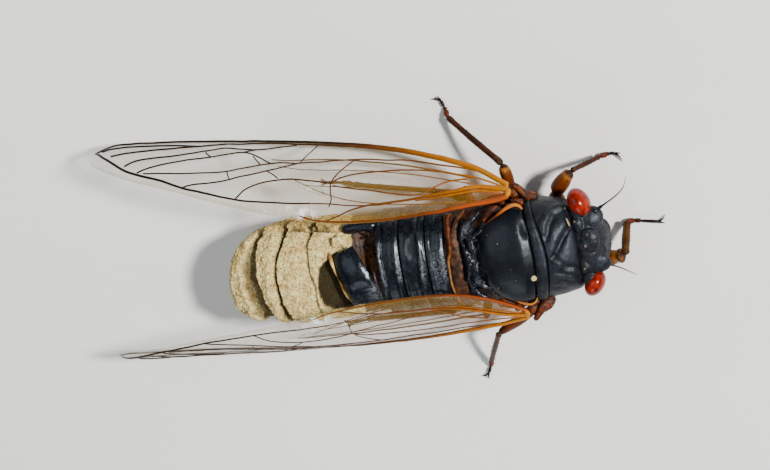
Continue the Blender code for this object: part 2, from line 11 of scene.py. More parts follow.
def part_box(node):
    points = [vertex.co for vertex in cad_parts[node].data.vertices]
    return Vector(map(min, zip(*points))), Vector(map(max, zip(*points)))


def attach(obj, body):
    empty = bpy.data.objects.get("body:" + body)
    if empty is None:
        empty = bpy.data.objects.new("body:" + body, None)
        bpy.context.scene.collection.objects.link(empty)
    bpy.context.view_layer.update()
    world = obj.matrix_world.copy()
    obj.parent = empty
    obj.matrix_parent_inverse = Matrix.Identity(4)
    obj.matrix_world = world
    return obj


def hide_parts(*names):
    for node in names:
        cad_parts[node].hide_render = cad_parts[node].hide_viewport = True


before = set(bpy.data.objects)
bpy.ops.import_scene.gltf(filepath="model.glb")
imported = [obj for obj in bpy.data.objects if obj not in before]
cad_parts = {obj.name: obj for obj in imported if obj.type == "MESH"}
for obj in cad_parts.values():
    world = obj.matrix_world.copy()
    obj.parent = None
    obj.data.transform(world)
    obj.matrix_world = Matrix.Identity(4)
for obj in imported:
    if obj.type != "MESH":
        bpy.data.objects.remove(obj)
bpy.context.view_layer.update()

# The insect is shaped in millimetres: X to the head, Y to its left, Z up; toRow sets it in the frame
mm = 0.001
metanotumFront = -4.2
metaLow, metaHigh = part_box("metanotum")
bodyShift = Vector((metaHigh.x - metanotumFront * mm, (metaLow.y + metaHigh.y) / 2, 0.0))
toRow = Matrix.Translation(bodyShift) @ Matrix.Scale(mm, 4)
weld = 0.0004
rng = random.Random(17)


# Curves, relief and tables

def hump(distance, halfWidth):
    share = min(abs(distance) / halfWidth, 1.0)
    return (1 + math.cos(math.pi * share)) / 2


def rampUp(value, low, high):
    t = min(max((value - low) / (high - low), 0.0), 1.0)
    return t * t * (3 - 2 * t)


def strokeRise(point, strokes):  # ridges and grooves drawn as lines: path, half width, height
    total = 0.0
    for path, width, height in strokes:
        nearest = width
        for (ax, ay), (bx, by) in zip(path, path[1:]):
            dx, dy = bx - ax, by - ay
            t = min(max(((point.x - ax) * dx + (point.y - ay) * dy) / (dx * dx + dy * dy), 0.0), 1.0)
            nearest = min(nearest, math.hypot(point.x - ax - t * dx, point.y - ay - t * dy))
        total += height * hump(nearest, width)
    return total


def grain(point, scale, octaves=3):
    return noise.fractal(point * scale, 0.8, 2.1, octaves)


def grains(point, layers):  # layers of relief: height, then how fine it is
    return sum(height * grain(point, scale) for height, scale in layers)


def mirrored(path, side, drop=0.0):  # the right copy may lie lower
    return [(x, side * y, z - (drop if side < 0 else 0.0)) for x, y, z in path]


@functools.lru_cache(maxsize=None)
def smoothValue(stations, at, column):  # a smooth curve through one column of a table
    rows = stations if stations[0][0] < stations[-1][0] else stations[::-1]
    at = min(max(at, rows[0][0]), rows[-1][0])
    i = max(k for k in range(len(rows) - 1) if rows[k][0] <= at)
    span = rows[i + 1][0] - rows[i][0]

    def slope(k):
        low, high = max(k - 1, 0), min(k + 1, len(rows) - 1)
        return (rows[high][column] - rows[low][column]) / (rows[high][0] - rows[low][0])

    t = (at - rows[i][0]) / span
    rise = rows[i][column] * (2 * t**3 - 3 * t**2 + 1) + rows[i + 1][column] * (3 * t**2 - 2 * t**3)
    return rise + span * (slope(i) * (t**3 - 2 * t**2 + t) + slope(i + 1) * (t**3 - t**2))


# Shapes

def corners(bm):  # every face corner, with its place on the surface map
    surface = bm.loops.layers.uv["surface"]
    for face in bm.faces:
        for loop in face.loops:
            yield loop, loop[surface]


def gridShape(columns, rows, place, closed=True):
    bm = bmesh.new()
    bmesh.ops.create_grid(bm, x_segments=columns, y_segments=rows, size=0.5)
    bm.loops.layers.uv.new("surface")
    for loop, spot in corners(bm):
        spot.uv = (loop.vert.co.x + 0.5, loop.vert.co.y + 0.5)
    for vert in bm.verts:
        vert.co = place(vert.co.x + 0.5, vert.co.y + 0.5)
    if closed:
        bmesh.ops.remove_doubles(bm, verts=bm.verts, dist=weld)
        bmesh.ops.recalc_face_normals(bm, faces=bm.faces)
    return bm


def sectionPoint(stations, x, turn, scale):  # a place on the outline of one cross-section, and its way out
    half, middle, top, bottom, sweep, square = (smoothValue(stations, x, c) for c in range(1, 7))
    across = math.copysign(abs(math.cos(turn)) ** (2 / square), math.cos(turn))
    rise = math.copysign(abs(math.sin(turn)) ** (2 / square), math.sin(turn))
    up = (top - middle) * rise if rise > 0 else (middle - bottom) * rise
    point = Vector((x - sweep * (across * scale) ** 2, half * across * scale, middle + up * scale))
    return point, Vector((0.0, across, rise)).normalized()


def loft(stations, around, rows, relief=None, lip=0.12, warp=None):  # a closed plate or ring, rims rounded
    front, rear = stations[0][0], stations[-1][0]
    rim = [(0.0, 0.0), (0.0, 0.5), (0.0, 0.88), (0.0, 0.955), (0.3, 0.986)]
    table = [(front - lip * a, scale) for a, scale in rim]
    for k in range(rows + 1):
        table.append((front - lip + (rear - front + 2 * lip) * k / rows, 1.0))
    table += [(rear + lip * a, scale) for a, scale in reversed(rim)]

    def place(u, v):
        x, scale = table[round(v * (len(table) - 1))]
        point, outward = sectionPoint(stations, x, math.tau * u, scale)
        if relief and scale == 1.0:
            point += outward * relief(point)
        return warp(point) if warp else point

    return gridShape(around, len(table) - 1, place)


def settle(bm, centre, sizes, turn):  # stretches, turns and places a unit shape
    spin = Euler([math.radians(a) for a in turn]).to_matrix().to_4x4()
    matrix = Matrix.Translation(centre) @ spin @ Matrix.Diagonal((*sizes, 1.0))
    bmesh.ops.transform(bm, matrix=matrix, verts=bm.verts)
    return bm


def blob(centre, radii, turn=(0.0, 0.0, 0.0), segments=28, rings=18):
    bm = bmesh.new()
    bmesh.ops.create_uvsphere(bm, u_segments=segments, v_segments=rings, radius=1.0)
    return settle(bm, centre, radii, turn)


def block(centre, sizes, turn):  # a cube with well rounded edges
    bm = bmesh.new()
    bmesh.ops.create_cube(bm, size=2.0)
    bmesh.ops.bevel(bm, geom=bm.edges[:], offset=0.3, segments=3, profile=0.5, material=-1, affect="EDGES")
    return settle(bm, centre, sizes, turn)


def beadsOn(tree, spots, lift=0.2, height=0.7, segments=14, rings=9):  # small beads on a shape: x, y, radius
    beads = []
    for x, y, radius in spots:
        ground = tree.ray_cast(Vector((x, y, 20.0)), Vector((0, 0, -1)))[0]  # looked for from well above
        if ground:
            radii = (radius, radius * 0.9, radius * height)
            beads.append(blob(ground + Vector((0, 0, lift * radius)), radii, (0, 0, 0), segments, rings))
    return beads


def curvePoints(path):  # the length of a smooth line and its place at each share of it
    places = [Vector(p) for p in path]
    lengths = [0.0]
    for a, b in zip(places, places[1:]):
        lengths.append(lengths[-1] + (b - a).length)
    table = tuple((s, *p) for s, p in zip(lengths, places))
    return lengths[-1], lambda share: Vector(smoothValue(table, lengths[-1] * share, c) for c in (1, 2, 3))


def tube(path, radii, sides, rows, flat=1.0, relief=None, side=(0.0, 0.0, 1.0)):
    length, at = curvePoints(path)
    table = tuple(radii) if isinstance(radii[0], tuple) else tuple(
        (k / (len(radii) - 1), r) for k, r in enumerate(radii))
    cap = (0.0, 0.04, 0.15, 0.35, 0.65)
    first, last = (min(table[k][1] / length, 0.4) for k in (0, -1))
    shares = [first * c for c in cap] + [first + (1 - first - last) * k / rows for k in range(rows + 1)]
    shares += [1 - last * c for c in reversed(cap)]
    frames = []
    sideways = Vector(side)
    for k, share in enumerate(shares):
        tangent = (at(min(share + 0.01, 1.0)) - at(max(share - 0.01, 0.0))).normalized()
        sideways = (sideways - tangent * sideways.dot(tangent)).normalized()
        ends = min(share / first, (1 - share) / last, 1.0)
        radius = smoothValue(table, share, 1) * math.sqrt(max(1 - (1 - ends) ** 2, 0.0))
        frames.append((at(share), sideways.copy(), tangent.cross(sideways), radius))

    def place(u, v):
        k = round(v * (len(shares) - 1))
        centre, a, b, radius = frames[k]
        turn = math.tau * u
        if relief:
            radius *= 1 + relief(shares[k], turn)
        return centre + (a * math.cos(turn) + b * (math.sin(turn) * flat)) * radius

    return gridShape(sides, len(shares) - 1, place)


def spike(base, tip, radius, sides):
    bm = bmesh.new()
    bmesh.ops.create_cone(bm, cap_ends=True, segments=sides, radius1=radius, radius2=radius * 0.12,
                          depth=(tip - base).length)
    turn = (tip - base).to_track_quat("Z", "Y").to_matrix().to_4x4()
    bmesh.ops.transform(bm, matrix=Matrix.Translation((base + tip) / 2) @ turn, verts=bm.verts)
    return bm


def joinShapes(shapes):
    joined = bmesh.new()
    for shape in shapes:
        mesh = bpy.data.meshes.new("part")
        shape.to_mesh(mesh)
        shape.free()
        joined.from_mesh(mesh)
        bpy.data.meshes.remove(mesh)
    return joined


def newObject(bm, name):
    mesh = bpy.data.meshes.new(name)
    bm.to_mesh(mesh)
    bm.free()
    obj = bpy.data.objects.new(name, mesh)
    bpy.context.scene.collection.objects.link(obj)
    return obj


def melt(shapes, voxel, rounds=2):  # fuses closed shapes into one skin
    obj = newObject(joinShapes(shapes), "melt")
    mesh = obj.data
    voxels = obj.modifiers.new("voxels", "REMESH")
    voxels.mode = "VOXEL"
    voxels.voxel_size = voxel
    bpy.context.view_layer.update()
    skin = bpy.data.meshes.new_from_object(obj.evaluated_get(bpy.context.evaluated_depsgraph_get()))
    bpy.data.objects.remove(obj)
    bpy.data.meshes.remove(mesh)
    bm = bmesh.new()
    bm.from_mesh(skin)
    bpy.data.meshes.remove(skin)
    for _ in range(rounds):
        bmesh.ops.smooth_vert(bm, verts=bm.verts, factor=0.5, use_axis_x=True, use_axis_y=True,
                              use_axis_z=True)
    return bm


def paint(bm, layerName, amount):  # a number at every point, which the materials read
    layer = bm.verts.layers.float.new(layerName)
    for vert in bm.verts:
        vert[layer] = amount(vert.co)
    return bm


def pushOut(bm, relief):
    bm.normal_update()
    moves = [vert.normal * relief(vert.co) for vert in bm.verts]
    for vert, move in zip(bm.verts, moves):
        vert.co += move
    return bm


def finishPiece(bm, name, material, nodes=()):
    bmesh.ops.transform(bm, matrix=toRow, verts=bm.verts)
    obj = newObject(bm, name)
    obj.data.shade_smooth()
    obj.data.materials.append(material)
    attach(obj, "root")
    if nodes:
        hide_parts(*nodes)


# Materials

def addNode(tree, kind, sockets=None, **options):
    node = tree.nodes.new("ShaderNode" + kind)
    for key, value in options.items():
        setattr(node, key, value)
    for key, value in (sockets or {}).items():
        if isinstance(value, bpy.types.NodeSocket):
            tree.links.new(value, node.inputs[key])
        else:
            node.inputs[key].default_value = value
    return node


def newMaterial(name, sockets):
    material = bpy.data.materials.new(name)
    material.use_nodes = True
    tree = material.node_tree
    shader = tree.nodes["Principled BSDF"]
    for key, value in sockets.items():
        shader.inputs[key].default_value = value
    return material, tree, shader


def bodyCoords(tree, stretch=(1.0, 1.0, 1.0), centre=(0.0, 0.0, 0.0)):  # millimetres from a place
    source = addNode(tree, "TexCoord").outputs["Object"]
    start = -bodyShift / mm - Vector(centre)
    inMm = addNode(tree, "Mapping", {"Vector": source, "Scale": (1 / mm,) * 3, "Location": start})
    return addNode(tree, "Mapping", {"Vector": inMm.outputs[0], "Scale": stretch}).outputs[0]


def noiseOf(tree, coords, scale, detail=4.0, roughness=0.55):
    sockets = {"Vector": coords, "Scale": scale, "Detail": detail, "Roughness": roughness}
    return addNode(tree, "TexNoise", sockets).outputs["Fac"]


def rampOf(tree, factor, stops):
    node = addNode(tree, "ValToRGB", {"Fac": factor})
    elements = node.color_ramp.elements
    while len(elements) < len(stops):
        elements.new(0.5)
    for element, (position, colour) in zip(elements, stops):
        element.position = position
        element.color = (*colour, 1.0) if isinstance(colour, tuple) else (colour, colour, colour, 1.0)
    return node.outputs["Color"]


def mixOf(tree, factor, first, second):
    first = (*first, 1.0) if isinstance(first, tuple) else first
    second = (*second, 1.0) if isinstance(second, tuple) else second
    return addNode(tree, "Mix", {0: factor, 6: first, 7: second}, data_type="RGBA").outputs[2]


def mathOf(tree, operation, first, second=0.0):
    return addNode(tree, "Math", {0: first, 1: second}, operation=operation).outputs[0]


def timesOf(tree, first, second):
    return mathOf(tree, "MULTIPLY", first, second)


def mapOf(tree, value, low, high, toLow, toHigh):
    sockets = {"Value": value, 1: low, 2: high, 3: toLow, 4: toHigh}
    return addNode(tree, "MapRange", sockets).outputs[0]


def distanceOf(tree, centre, stretch=(1.0, 1.0, 1.0)):
    coords = bodyCoords(tree, stretch, centre)
    return addNode(tree, "VectorMath", {0: coords}, operation="LENGTH").outputs["Value"]


def feed(shader, socket, value):
    shader.id_data.links.new(value, shader.inputs[socket])


def attributeOf(tree, name):
    return addNode(tree, "Attribute", attribute_name=name).outputs["Fac"]


def surfaceOf(tree):  # the surface map, then its places across and along
    surface = addNode(tree, "UVMap", uv_map="surface").outputs[0]
    parts = addNode(tree, "SeparateXYZ", {0: surface}).outputs
    return surface, parts[0], parts[1]


def cellsOf(tree, coords, scale):
    return addNode(tree, "TexVoronoi", {"Vector": coords, "Scale": scale}).outputs["Distance"]


def strayed(tree, value, cloud, amount):  # a value that wanders with a noise
    return mathOf(tree, "ADD", value, timesOf(tree, mathOf(tree, "SUBTRACT", cloud, 0.5), amount))


def bumpOf(shader, layers):  # layers of height: source, strength, depth in millimetres
    normal = None
    for height, strength, depth in layers:
        sockets = {"Height": height, "Strength": strength, "Distance": depth * mm}
        if normal:
            sockets["Normal"] = normal
        normal = addNode(shader.id_data, "Bump", sockets).outputs[0]
    feed(shader, "Normal", normal)


coolTint = (0.78, 0.9, 1.0, 1.0)


def makeCuticle(name, dark, light, roughness, wrinkle, coarse=1.2, pits=14.0):
    material, tree, shader = newMaterial(name, {"Specular IOR Level": 0.27, "Specular Tint": coolTint})
    coords = bodyCoords(tree)
    cloud = noiseOf(tree, coords, coarse, 5.0)
    fine = noiseOf(tree, coords, 9.0, 6.0, 0.65)
    colour = mixOf(tree, rampOf(tree, cloud, [(0.35, 0.0), (0.7, 1.0)]), dark, light)
    # painted sheen and bloom: the raised folds are lightened toward silvery blue-grey, partly a waxy bloom
    # and partly painted highlight
    sheenAndBloom = timesOf(tree, attributeOf(tree, "litCrown"), mapOf(tree, fine, 0.35, 0.6, 0.1, 1.0))
    feed(shader, "Base Color", mixOf(tree, sheenAndBloom, colour, (0.02, 0.023, 0.034)))
    feed(shader, "Roughness", mapOf(tree, fine, 0.3, 0.7, *roughness))
    bumpOf(shader, [(cloud, wrinkle, 0.12), (fine, 0.2, 0.03), (cellsOf(tree, coords, pits), 0.1, 0.02)])
    return material


tergiteSettings = {
    "dark": (0.002, 0.0028, 0.0055),
    "dust": (0.13, 0.14, 0.165),
    # painted highlights, partly dust: silvery patches where the rings and ridges shine; centre, then how fast
    # each fades along X, Y and Z
    "worn": (((-6.05, -0.2, 8.3), (1.1, 0.5, 0.5)), ((-7.5, -0.1, 8.4), (3.2, 0.5, 0.5)),
             ((-9.5, -0.3, 8.4), (2.4, 0.9, 0.5)), ((-10.9, -0.6, 8.4), (3.0, 0.6, 0.5)),
             ((-11.7, -1.5, 8.6), (1.2, 1.0, 0.6)), ((-3.5, 2.7, 8.0), (1.2, 0.9, 0.8)),
             ((-2.7, -1.9, 8.4), (1.6, 1.4, 1.0))),
    "pit": ((-8.12, 1.6, 8.3), (1.1, 0.8, 0.4)),  # dull dent in the second ring
}


def makeTergiteBlack():
    material, tree, shader = newMaterial("tergiteBlack", {"Specular IOR Level": 0.36,
                                                          "Specular Tint": coolTint})
    coords = bodyCoords(tree)
    streak = noiseOf(tree, bodyCoords(tree, (1.7, 0.8, 0.8)), 3.0, 6.0, 0.65)
    mottle = noiseOf(tree, coords, 5.5, 6.0, 0.7)
    worn = None
    for centre, fade in tergiteSettings["worn"]:
        spot = rampOf(tree, distanceOf(tree, centre, fade), [(0.45, 1.0), (1.0, 0.0)])
        worn = spot if worn is None else mathOf(tree, "MAXIMUM", worn, spot)
    # painted highlight: the patches lightened toward silver in speckles, with a faint painted sheen along the
    # streaks
    shine = timesOf(tree, worn, rampOf(tree, mottle, [(0.47, 0.0), (0.68, 1.0)]))
    streakSheen = timesOf(tree, rampOf(tree, streak, [(0.5, 0.0), (0.75, 1.0)]), 0.045)
    colour = mixOf(tree, mathOf(tree, "MAXIMUM", shine, streakSheen), tergiteSettings["dark"],
                   tergiteSettings["dust"])
    sink = rampOf(tree, distanceOf(tree, *tergiteSettings["pit"]), [(0.35, 1.0), (0.8, 0.0)])
    gloss = mapOf(tree, streak, 0.3, 0.75, 0.18, 0.42)
    feed(shader, "Base Color", colour)
    feed(shader, "Roughness", mathOf(tree, "ADD", gloss, timesOf(tree, sink, 0.5)))
    micro = noiseOf(tree, coords, 18.0, 4.0, 0.7)
    bumpOf(shader, [(streak, 0.18, 0.08), (timesOf(tree, mottle, worn), 0.5, 0.12), (micro, 0.15, 0.02)])
    return material


eyeSettings = {
    "left": {"centre": (5.95, 3.57, 6.45), "radii": (0.87, 1.22, 1.12), "tilt": 23.0,
             "marks": ((-0.35, 0.3, 1.0), (-0.12, 0.5, 1.0))},  # dark pseudopupil marks, from the centre
    "right": {"centre": (6.2, -3.33, 6.3), "radii": (0.77, 1.12, 1.06), "tilt": -38.0,
              "marks": ((0.2, -0.35, 1.02),)},
    "facets": 26.0,
    "deep": (0.06, 0.0008, 0.0004),
    "bright": (0.22, 0.011, 0.002),
}


def makeEyeRed():
    material, tree, shader = newMaterial("eyeRed", {"Specular IOR Level": 0.0, "Coat Weight": 1.0,
                                                    "Roughness": 0.4, "Coat Roughness": 0.19,
                                                    "Coat IOR": 1.33})
    coords = bodyCoords(tree)
    cloud = noiseOf(tree, coords, 1.6, 3.0)
    colour = mixOf(tree, rampOf(tree, cloud, [(0.3, 0.0), (0.62, 1.0)]), eyeSettings["deep"],
                   eyeSettings["bright"])
    for values in (eyeSettings["left"], eyeSettings["right"]):
        for mark in values["marks"]:
            away = distanceOf(tree, tuple(Vector(values["centre"]) + Vector(mark)))
            colour = mixOf(tree, rampOf(tree, away, [(0.05, 0.5), (0.3, 0.0)]), colour,
                           (0.02, 0.0005, 0.0005))
    feed(shader, "Base Color", colour)
    bumpOf(shader, [(cellsOf(tree, coords, eyeSettings["facets"]), 0.35, 0.012)])
    return material


def makePlugChalk():
    material, tree, shader = newMaterial("plugChalk", {"Specular IOR Level": 0.15})
    coords = bodyCoords(tree)
    blotch = noiseOf(tree, coords, 1.3, 6.0, 0.6)
    patch = noiseOf(tree, coords, 3.1, 5.0, 0.65)
    speck = noiseOf(tree, coords, 7.0, 6.0, 0.7)
    cream = rampOf(tree, blotch, [(0.3, (0.62, 0.41, 0.14)), (0.44, (0.9, 0.67, 0.27)),
                                  (0.6, (1.0, 0.87, 0.39))])
    cream = mixOf(tree, rampOf(tree, patch, [(0.36, 0.6), (0.5, 0.0)]), cream, (0.42, 0.27, 0.11))
    cream = mixOf(tree, rampOf(tree, speck, [(0.38, 0.95), (0.47, 0.0)]), cream, (0.17, 0.1, 0.035))
    shell = rampOf(tree, patch, [(0.38, (0.3, 0.16, 0.04)), (0.58, (0.95, 0.7, 0.26))])
    cream = mixOf(tree, attributeOf(tree, "tan"), cream, shell)
    # painted shade darkens the cream toward brown-black
    feed(shader, "Base Color", mixOf(tree, attributeOf(tree, "paintedShade"), cream, (0.014, 0.009, 0.004)))
    feed(shader, "Roughness", mapOf(tree, speck, 0.3, 0.7, 0.82, 0.98))
    bumpOf(shader, [(speck, 1.0, 0.22), (cellsOf(tree, coords, 6.0), 0.7, 0.1),
                    (noiseOf(tree, coords, 24.0, 3.0), 0.8, 0.06)])
    return material


def makeHollowBrown():
    material, tree, shader = newMaterial("hollowBrown", {"Specular IOR Level": 0.4})
    coords = bodyCoords(tree, (1.0, 0.6, 0.6))
    folds = noiseOf(tree, coords, 2.2, 6.0, 0.65)
    colour = rampOf(tree, folds, [(0.3, (0.006, 0.004, 0.003)), (0.52, (0.04, 0.016, 0.006)),
                                  (0.7, (0.16, 0.06, 0.015))])
    glow = distanceOf(tree, (-12.4, 0.6, 6.6), (1.2, 0.9, 0.6))
    near = rampOf(tree, glow, [(0.3, 0.45), (1.2, 0.0)])
    feed(shader, "Base Color", mixOf(tree, near, colour, (0.3, 0.1, 0.015)))
    feed(shader, "Roughness", mapOf(tree, folds, 0.3, 0.7, 0.3, 0.7))
    bumpOf(shader, [(folds, 0.9, 0.2), (noiseOf(tree, coords, 14.0), 0.4, 0.04)])
    return material


def makeLimb(name, stops, streak=0.35):  # colour runs along each limb, by its own surface map
    material, tree, shader = newMaterial(name, {"Specular IOR Level": 0.14,
                                                "Specular Tint": (1.0, 0.8, 0.6, 1.0)})
    coords = bodyCoords(tree)
    cloud = noiseOf(tree, coords, 2.4, 5.0, 0.6)
    fine = noiseOf(tree, coords, 12.0, 5.0, 0.65)
    feed(shader, "Base Color", rampOf(tree, strayed(tree, surfaceOf(tree)[2], cloud, streak), stops))
    feed(shader, "Roughness", mapOf(tree, fine, 0.3, 0.7, 0.22, 0.5))
    bumpOf(shader, [(cloud, 0.4, 0.08), (fine, 0.5, 0.05)])
    return material


def makeFlesh(name, dark, middle, light):
    material, tree, shader = newMaterial(name, {"Specular IOR Level": 0.22,
                                                "Specular Tint": (1.0, 0.85, 0.7, 1.0)})
    coords = bodyCoords(tree)
    cloud = noiseOf(tree, coords, 1.5, 6.0, 0.62)
    fine = noiseOf(tree, coords, 10.0, 5.0, 0.65)
    feed(shader, "Base Color", rampOf(tree, cloud, [(0.34, dark), (0.5, middle), (0.68, light)]))
    feed(shader, "Roughness", mapOf(tree, fine, 0.3, 0.7, 0.25, 0.6))
    bumpOf(shader, [(cloud, 0.6, 0.12), (fine, 0.5, 0.05)])
    return material


def makeWingMembrane(name, strength):
    material, tree, shader = newMaterial(name, {"Specular IOR Level": 0.6, "Coat Weight": 0.4,
                                                "Coat Roughness": 0.06})
    surface, across, share = surfaceOf(tree)
    coords = bodyCoords(tree)

    def creased(stretch, detail, roughness=0.55):
        pattern = addNode(tree, "Mapping", {"Vector": surface, "Scale": stretch}).outputs[0]
        return noiseOf(tree, pattern, 1.0, detail, roughness)

    def band(value, *stops):
        return rampOf(tree, value, list(stops))

    tint = band(share, (0.0, (0.2, 0.045, 0.006)), (0.1, (0.3, 0.11, 0.012)), (0.3, (0.34, 0.2, 0.03)),
                (0.6, (0.32, 0.23, 0.05)), (1.0, (0.24, 0.19, 0.06)))
    cloud = noiseOf(tree, coords, 0.5, 4.0)
    tint = mixOf(tree, mapOf(tree, cloud, 0.35, 0.65, 0.0, 0.5), tint, (0.5, 0.3, 0.04))
    # the orange web between the two thick bands at the root
    middle = timesOf(tree, band(across, (0.5, 0.0), (0.58, 1.0)), band(across, (0.72, 1.0), (0.8, 0.0)))
    web = timesOf(tree, band(share, (0.03, 1.0), (0.1, 0.0)), middle)
    tint = mixOf(tree, web, tint, (0.4, 0.11, 0.006))
    # painted glints: white streaks where the inner lobe folds over the abdomen
    reach = timesOf(tree, band(share, (0.4, 0.0), (0.44, 1.0), (0.5, 1.0), (0.56, 0.0)),
                    band(across, (0.84, 0.0), (0.9, 1.0), (0.97, 1.0), (1.0, 0.4)))
    glint = timesOf(tree, band(creased((5.0, 62.0, 1.0), 3.0), (0.5, 0.0), (0.6, 1.0)), reach)
    body = mathOf(tree, "ADD", mapOf(tree, share, 0.0, 0.1, 0.36, 0.12), timesOf(tree, web, 0.2))
    body = mathOf(tree, "ADD", body, mapOf(tree, across, 0.92, 1.0, 0.0, 0.14))
    crease = creased((9.0, 26.0, 1.0), 5.0, 0.6)
    feed(shader, "Base Color", mixOf(tree, glint, tint, (0.9, 0.92, 0.9)))
    feed(shader, "Alpha", mathOf(tree, "MAXIMUM", timesOf(tree, body, strength), timesOf(tree, glint, 0.8)))
    feed(shader, "Roughness", mapOf(tree, crease, 0.3, 0.7, 0.06, 0.22))
    bumpOf(shader, [(crease, 0.15, 0.15), (noiseOf(tree, coords, 2.0), 0.2, 0.1)])
    return material


def makeWingVein():
    material, tree, shader = newMaterial("wingVein", {"Specular IOR Level": 0.14,
                                                      "Specular Tint": (1.0, 0.85, 0.6, 1.0)})
    coords = bodyCoords(tree)
    cloud = noiseOf(tree, coords, 1.8, 5.0, 0.6)
    fine = noiseOf(tree, coords, 11.0, 4.0)
    place = strayed(tree, attributeOf(tree, "reach"), cloud, 0.14)
    blush = attributeOf(tree, "blush")  # 1 on the inner margin, -1 on the leading edge
    colour = rampOf(tree, place, [(0.0, (0.4, 0.14, 0.001)), (0.1, (0.3, 0.09, 0.001)),
                                  (0.2, (0.13, 0.036, 0.001)), (0.36, (0.06, 0.016, 0.002)),
                                  (0.52, (0.02, 0.007, 0.003)), (0.68, (0.004, 0.003, 0.003))])
    margin = rampOf(tree, place, [(0.0, (0.3, 0.055, 0.007)), (0.1, (0.24, 0.042, 0.004)),
                                  (0.2, (0.1, 0.022, 0.001))])
    lead = rampOf(tree, place, [(0.0, (0.42, 0.15, 0.001)), (0.28, (0.3, 0.1, 0.001)),
                                (0.42, (0.13, 0.04, 0.002)), (0.55, (0.03, 0.01, 0.003)),
                                (0.68, (0.004, 0.003, 0.003))])
    colour = mixOf(tree, mathOf(tree, "MAXIMUM", blush, 0.0), colour, margin)
    colour = mixOf(tree, mathOf(tree, "MAXIMUM", timesOf(tree, blush, -1.0), 0.0), colour, lead)
    litCrown = mathOf(tree, "COSINE", timesOf(tree, surfaceOf(tree)[1], math.tau))  # 1 on the vein's crown; painted shade darkens its flanks and underside
    flankShade = mapOf(tree, litCrown, 0.15, 0.7, 0.9, 0.0)
    feed(shader, "Base Color", mixOf(tree, flankShade, colour, (0.045, 0.009, 0.005)))
    feed(shader, "Roughness", mapOf(tree, fine, 0.3, 0.7, 0.3, 0.5))
    bumpOf(shader, [(fine, 0.4, 0.04)])
    return material


def makeFloor():
    material, tree, shader = newMaterial("paleFloor", {"Specular IOR Level": 0.2})
    cloud = noiseOf(tree, addNode(tree, "TexCoord").outputs["Object"], 30.0, 4.0)
    share = mapOf(tree, cloud, 0.3, 0.7, 0.0, 1.0)
    feed(shader, "Base Color", mixOf(tree, share, (0.76, 0.77, 0.76), (0.8, 0.81, 0.8)))
    feed(shader, "Roughness", mapOf(tree, cloud, 0.3, 0.7, 0.7, 0.85))
    return material


blackCuticle = makeCuticle("blackCuticle", (0.0014, 0.0018, 0.003), (0.0042, 0.0052, 0.0088), (0.3, 0.42),
                           wrinkle=0.1)
collarCuticle = makeCuticle("collarCuticle", (0.0016, 0.002, 0.0034), (0.006, 0.0075, 0.012), (0.44, 0.58),
                            wrinkle=0.25)
headCuticle = makeCuticle("headCuticle", (0.0018, 0.002, 0.0036), (0.007, 0.0075, 0.0125), (0.4, 0.56),
                          coarse=1.6, pits=9.0, wrinkle=0.4)
tergiteBlack = makeTergiteBlack()
eyeRed = makeEyeRed()
plugChalk = makePlugChalk()
hollowBrown = makeHollowBrown()
wingVein = makeWingVein()
wingMembrane = makeWingMembrane("wingMembrane", 1.0)
hindMembrane = makeWingMembrane("hindMembrane", 0.3)
darkFlesh = makeFlesh("darkFlesh", (0.005, 0.004, 0.004), (0.022, 0.008, 0.005), (0.09, 0.028, 0.008))
orangeFlesh = makeFlesh("orangeFlesh", (0.008, 0.003, 0.002), (0.04, 0.008, 0.003), (0.17, 0.036, 0.006))
rimTan = makeFlesh("rimTan", (0.16, 0.08, 0.015), (0.42, 0.25, 0.07), (0.66, 0.46, 0.18))
ocellusGlass = makeFlesh("ocellusGlass", (0.03, 0.02, 0.02), (0.1, 0.07, 0.07), (0.3, 0.26, 0.26))
tanBead = makeFlesh("tanBead", (0.05, 0.03, 0.012), (0.14, 0.095, 0.04), (0.36, 0.27, 0.15))

# Limbs: how far along, and the colour there
cordSkin = makeLimb("cordSkin", [(0.0, (0.3, 0.08, 0.01)), (0.16, (0.4, 0.13, 0.014)),
                                 (0.42, (0.3, 0.075, 0.01)), (0.6, (0.06, 0.012, 0.004)),
                                 (1.0, (0.02, 0.006, 0.004))], 0.2)
arcSkin = makeLimb("arcSkin", [(0.0, (0.1, 0.026, 0.005)), (0.3, (0.045, 0.01, 0.004)),
                               (0.42, (0.1, 0.032, 0.008)), (0.6, (0.22, 0.11, 0.03)),
                               (1.0, (0.12, 0.04, 0.01))], 0.6)
legFront = makeLimb("legFront", [(0.0, (0.03, 0.005, 0.001)), (0.3, (0.07, 0.011, 0.001)),
                                 (0.7, (0.085, 0.018, 0.001)), (0.85, (0.22, 0.08, 0.01)),
                                 (0.93, (0.02, 0.005, 0.003)), (1.0, (0.008, 0.004, 0.003))], 0.3)
legRear = makeLimb("legRear", [(0.0, (0.02, 0.005, 0.003)), (0.4, (0.05, 0.009, 0.002)),
                               (0.75, (0.075, 0.014, 0.002)), (0.92, (0.02, 0.005, 0.003)),
                               (1.0, (0.01, 0.004, 0.003))])
shin = makeLimb("shin", [(0.0, (0.006, 0.003, 0.003)), (0.06, (0.07, 0.028, 0.01)),
                         (0.12, (0.02, 0.005, 0.003)), (0.3, (0.035, 0.008, 0.001)),
                         (0.5, (0.014, 0.003, 0.001)), (0.75, (0.035, 0.006, 0.001)),
                         (1.0, (0.02, 0.005, 0.003))], 0.6)
shinLight = makeLimb("shinLight", [(0.0, (0.008, 0.004, 0.003)), (0.1, (0.07, 0.028, 0.004)),
                                   (0.3, (0.025, 0.009, 0.002)), (0.6, (0.06, 0.021, 0.002)),
                                   (0.85, (0.035, 0.008, 0.002)), (1.0, (0.04, 0.008, 0.002))], 0.6)
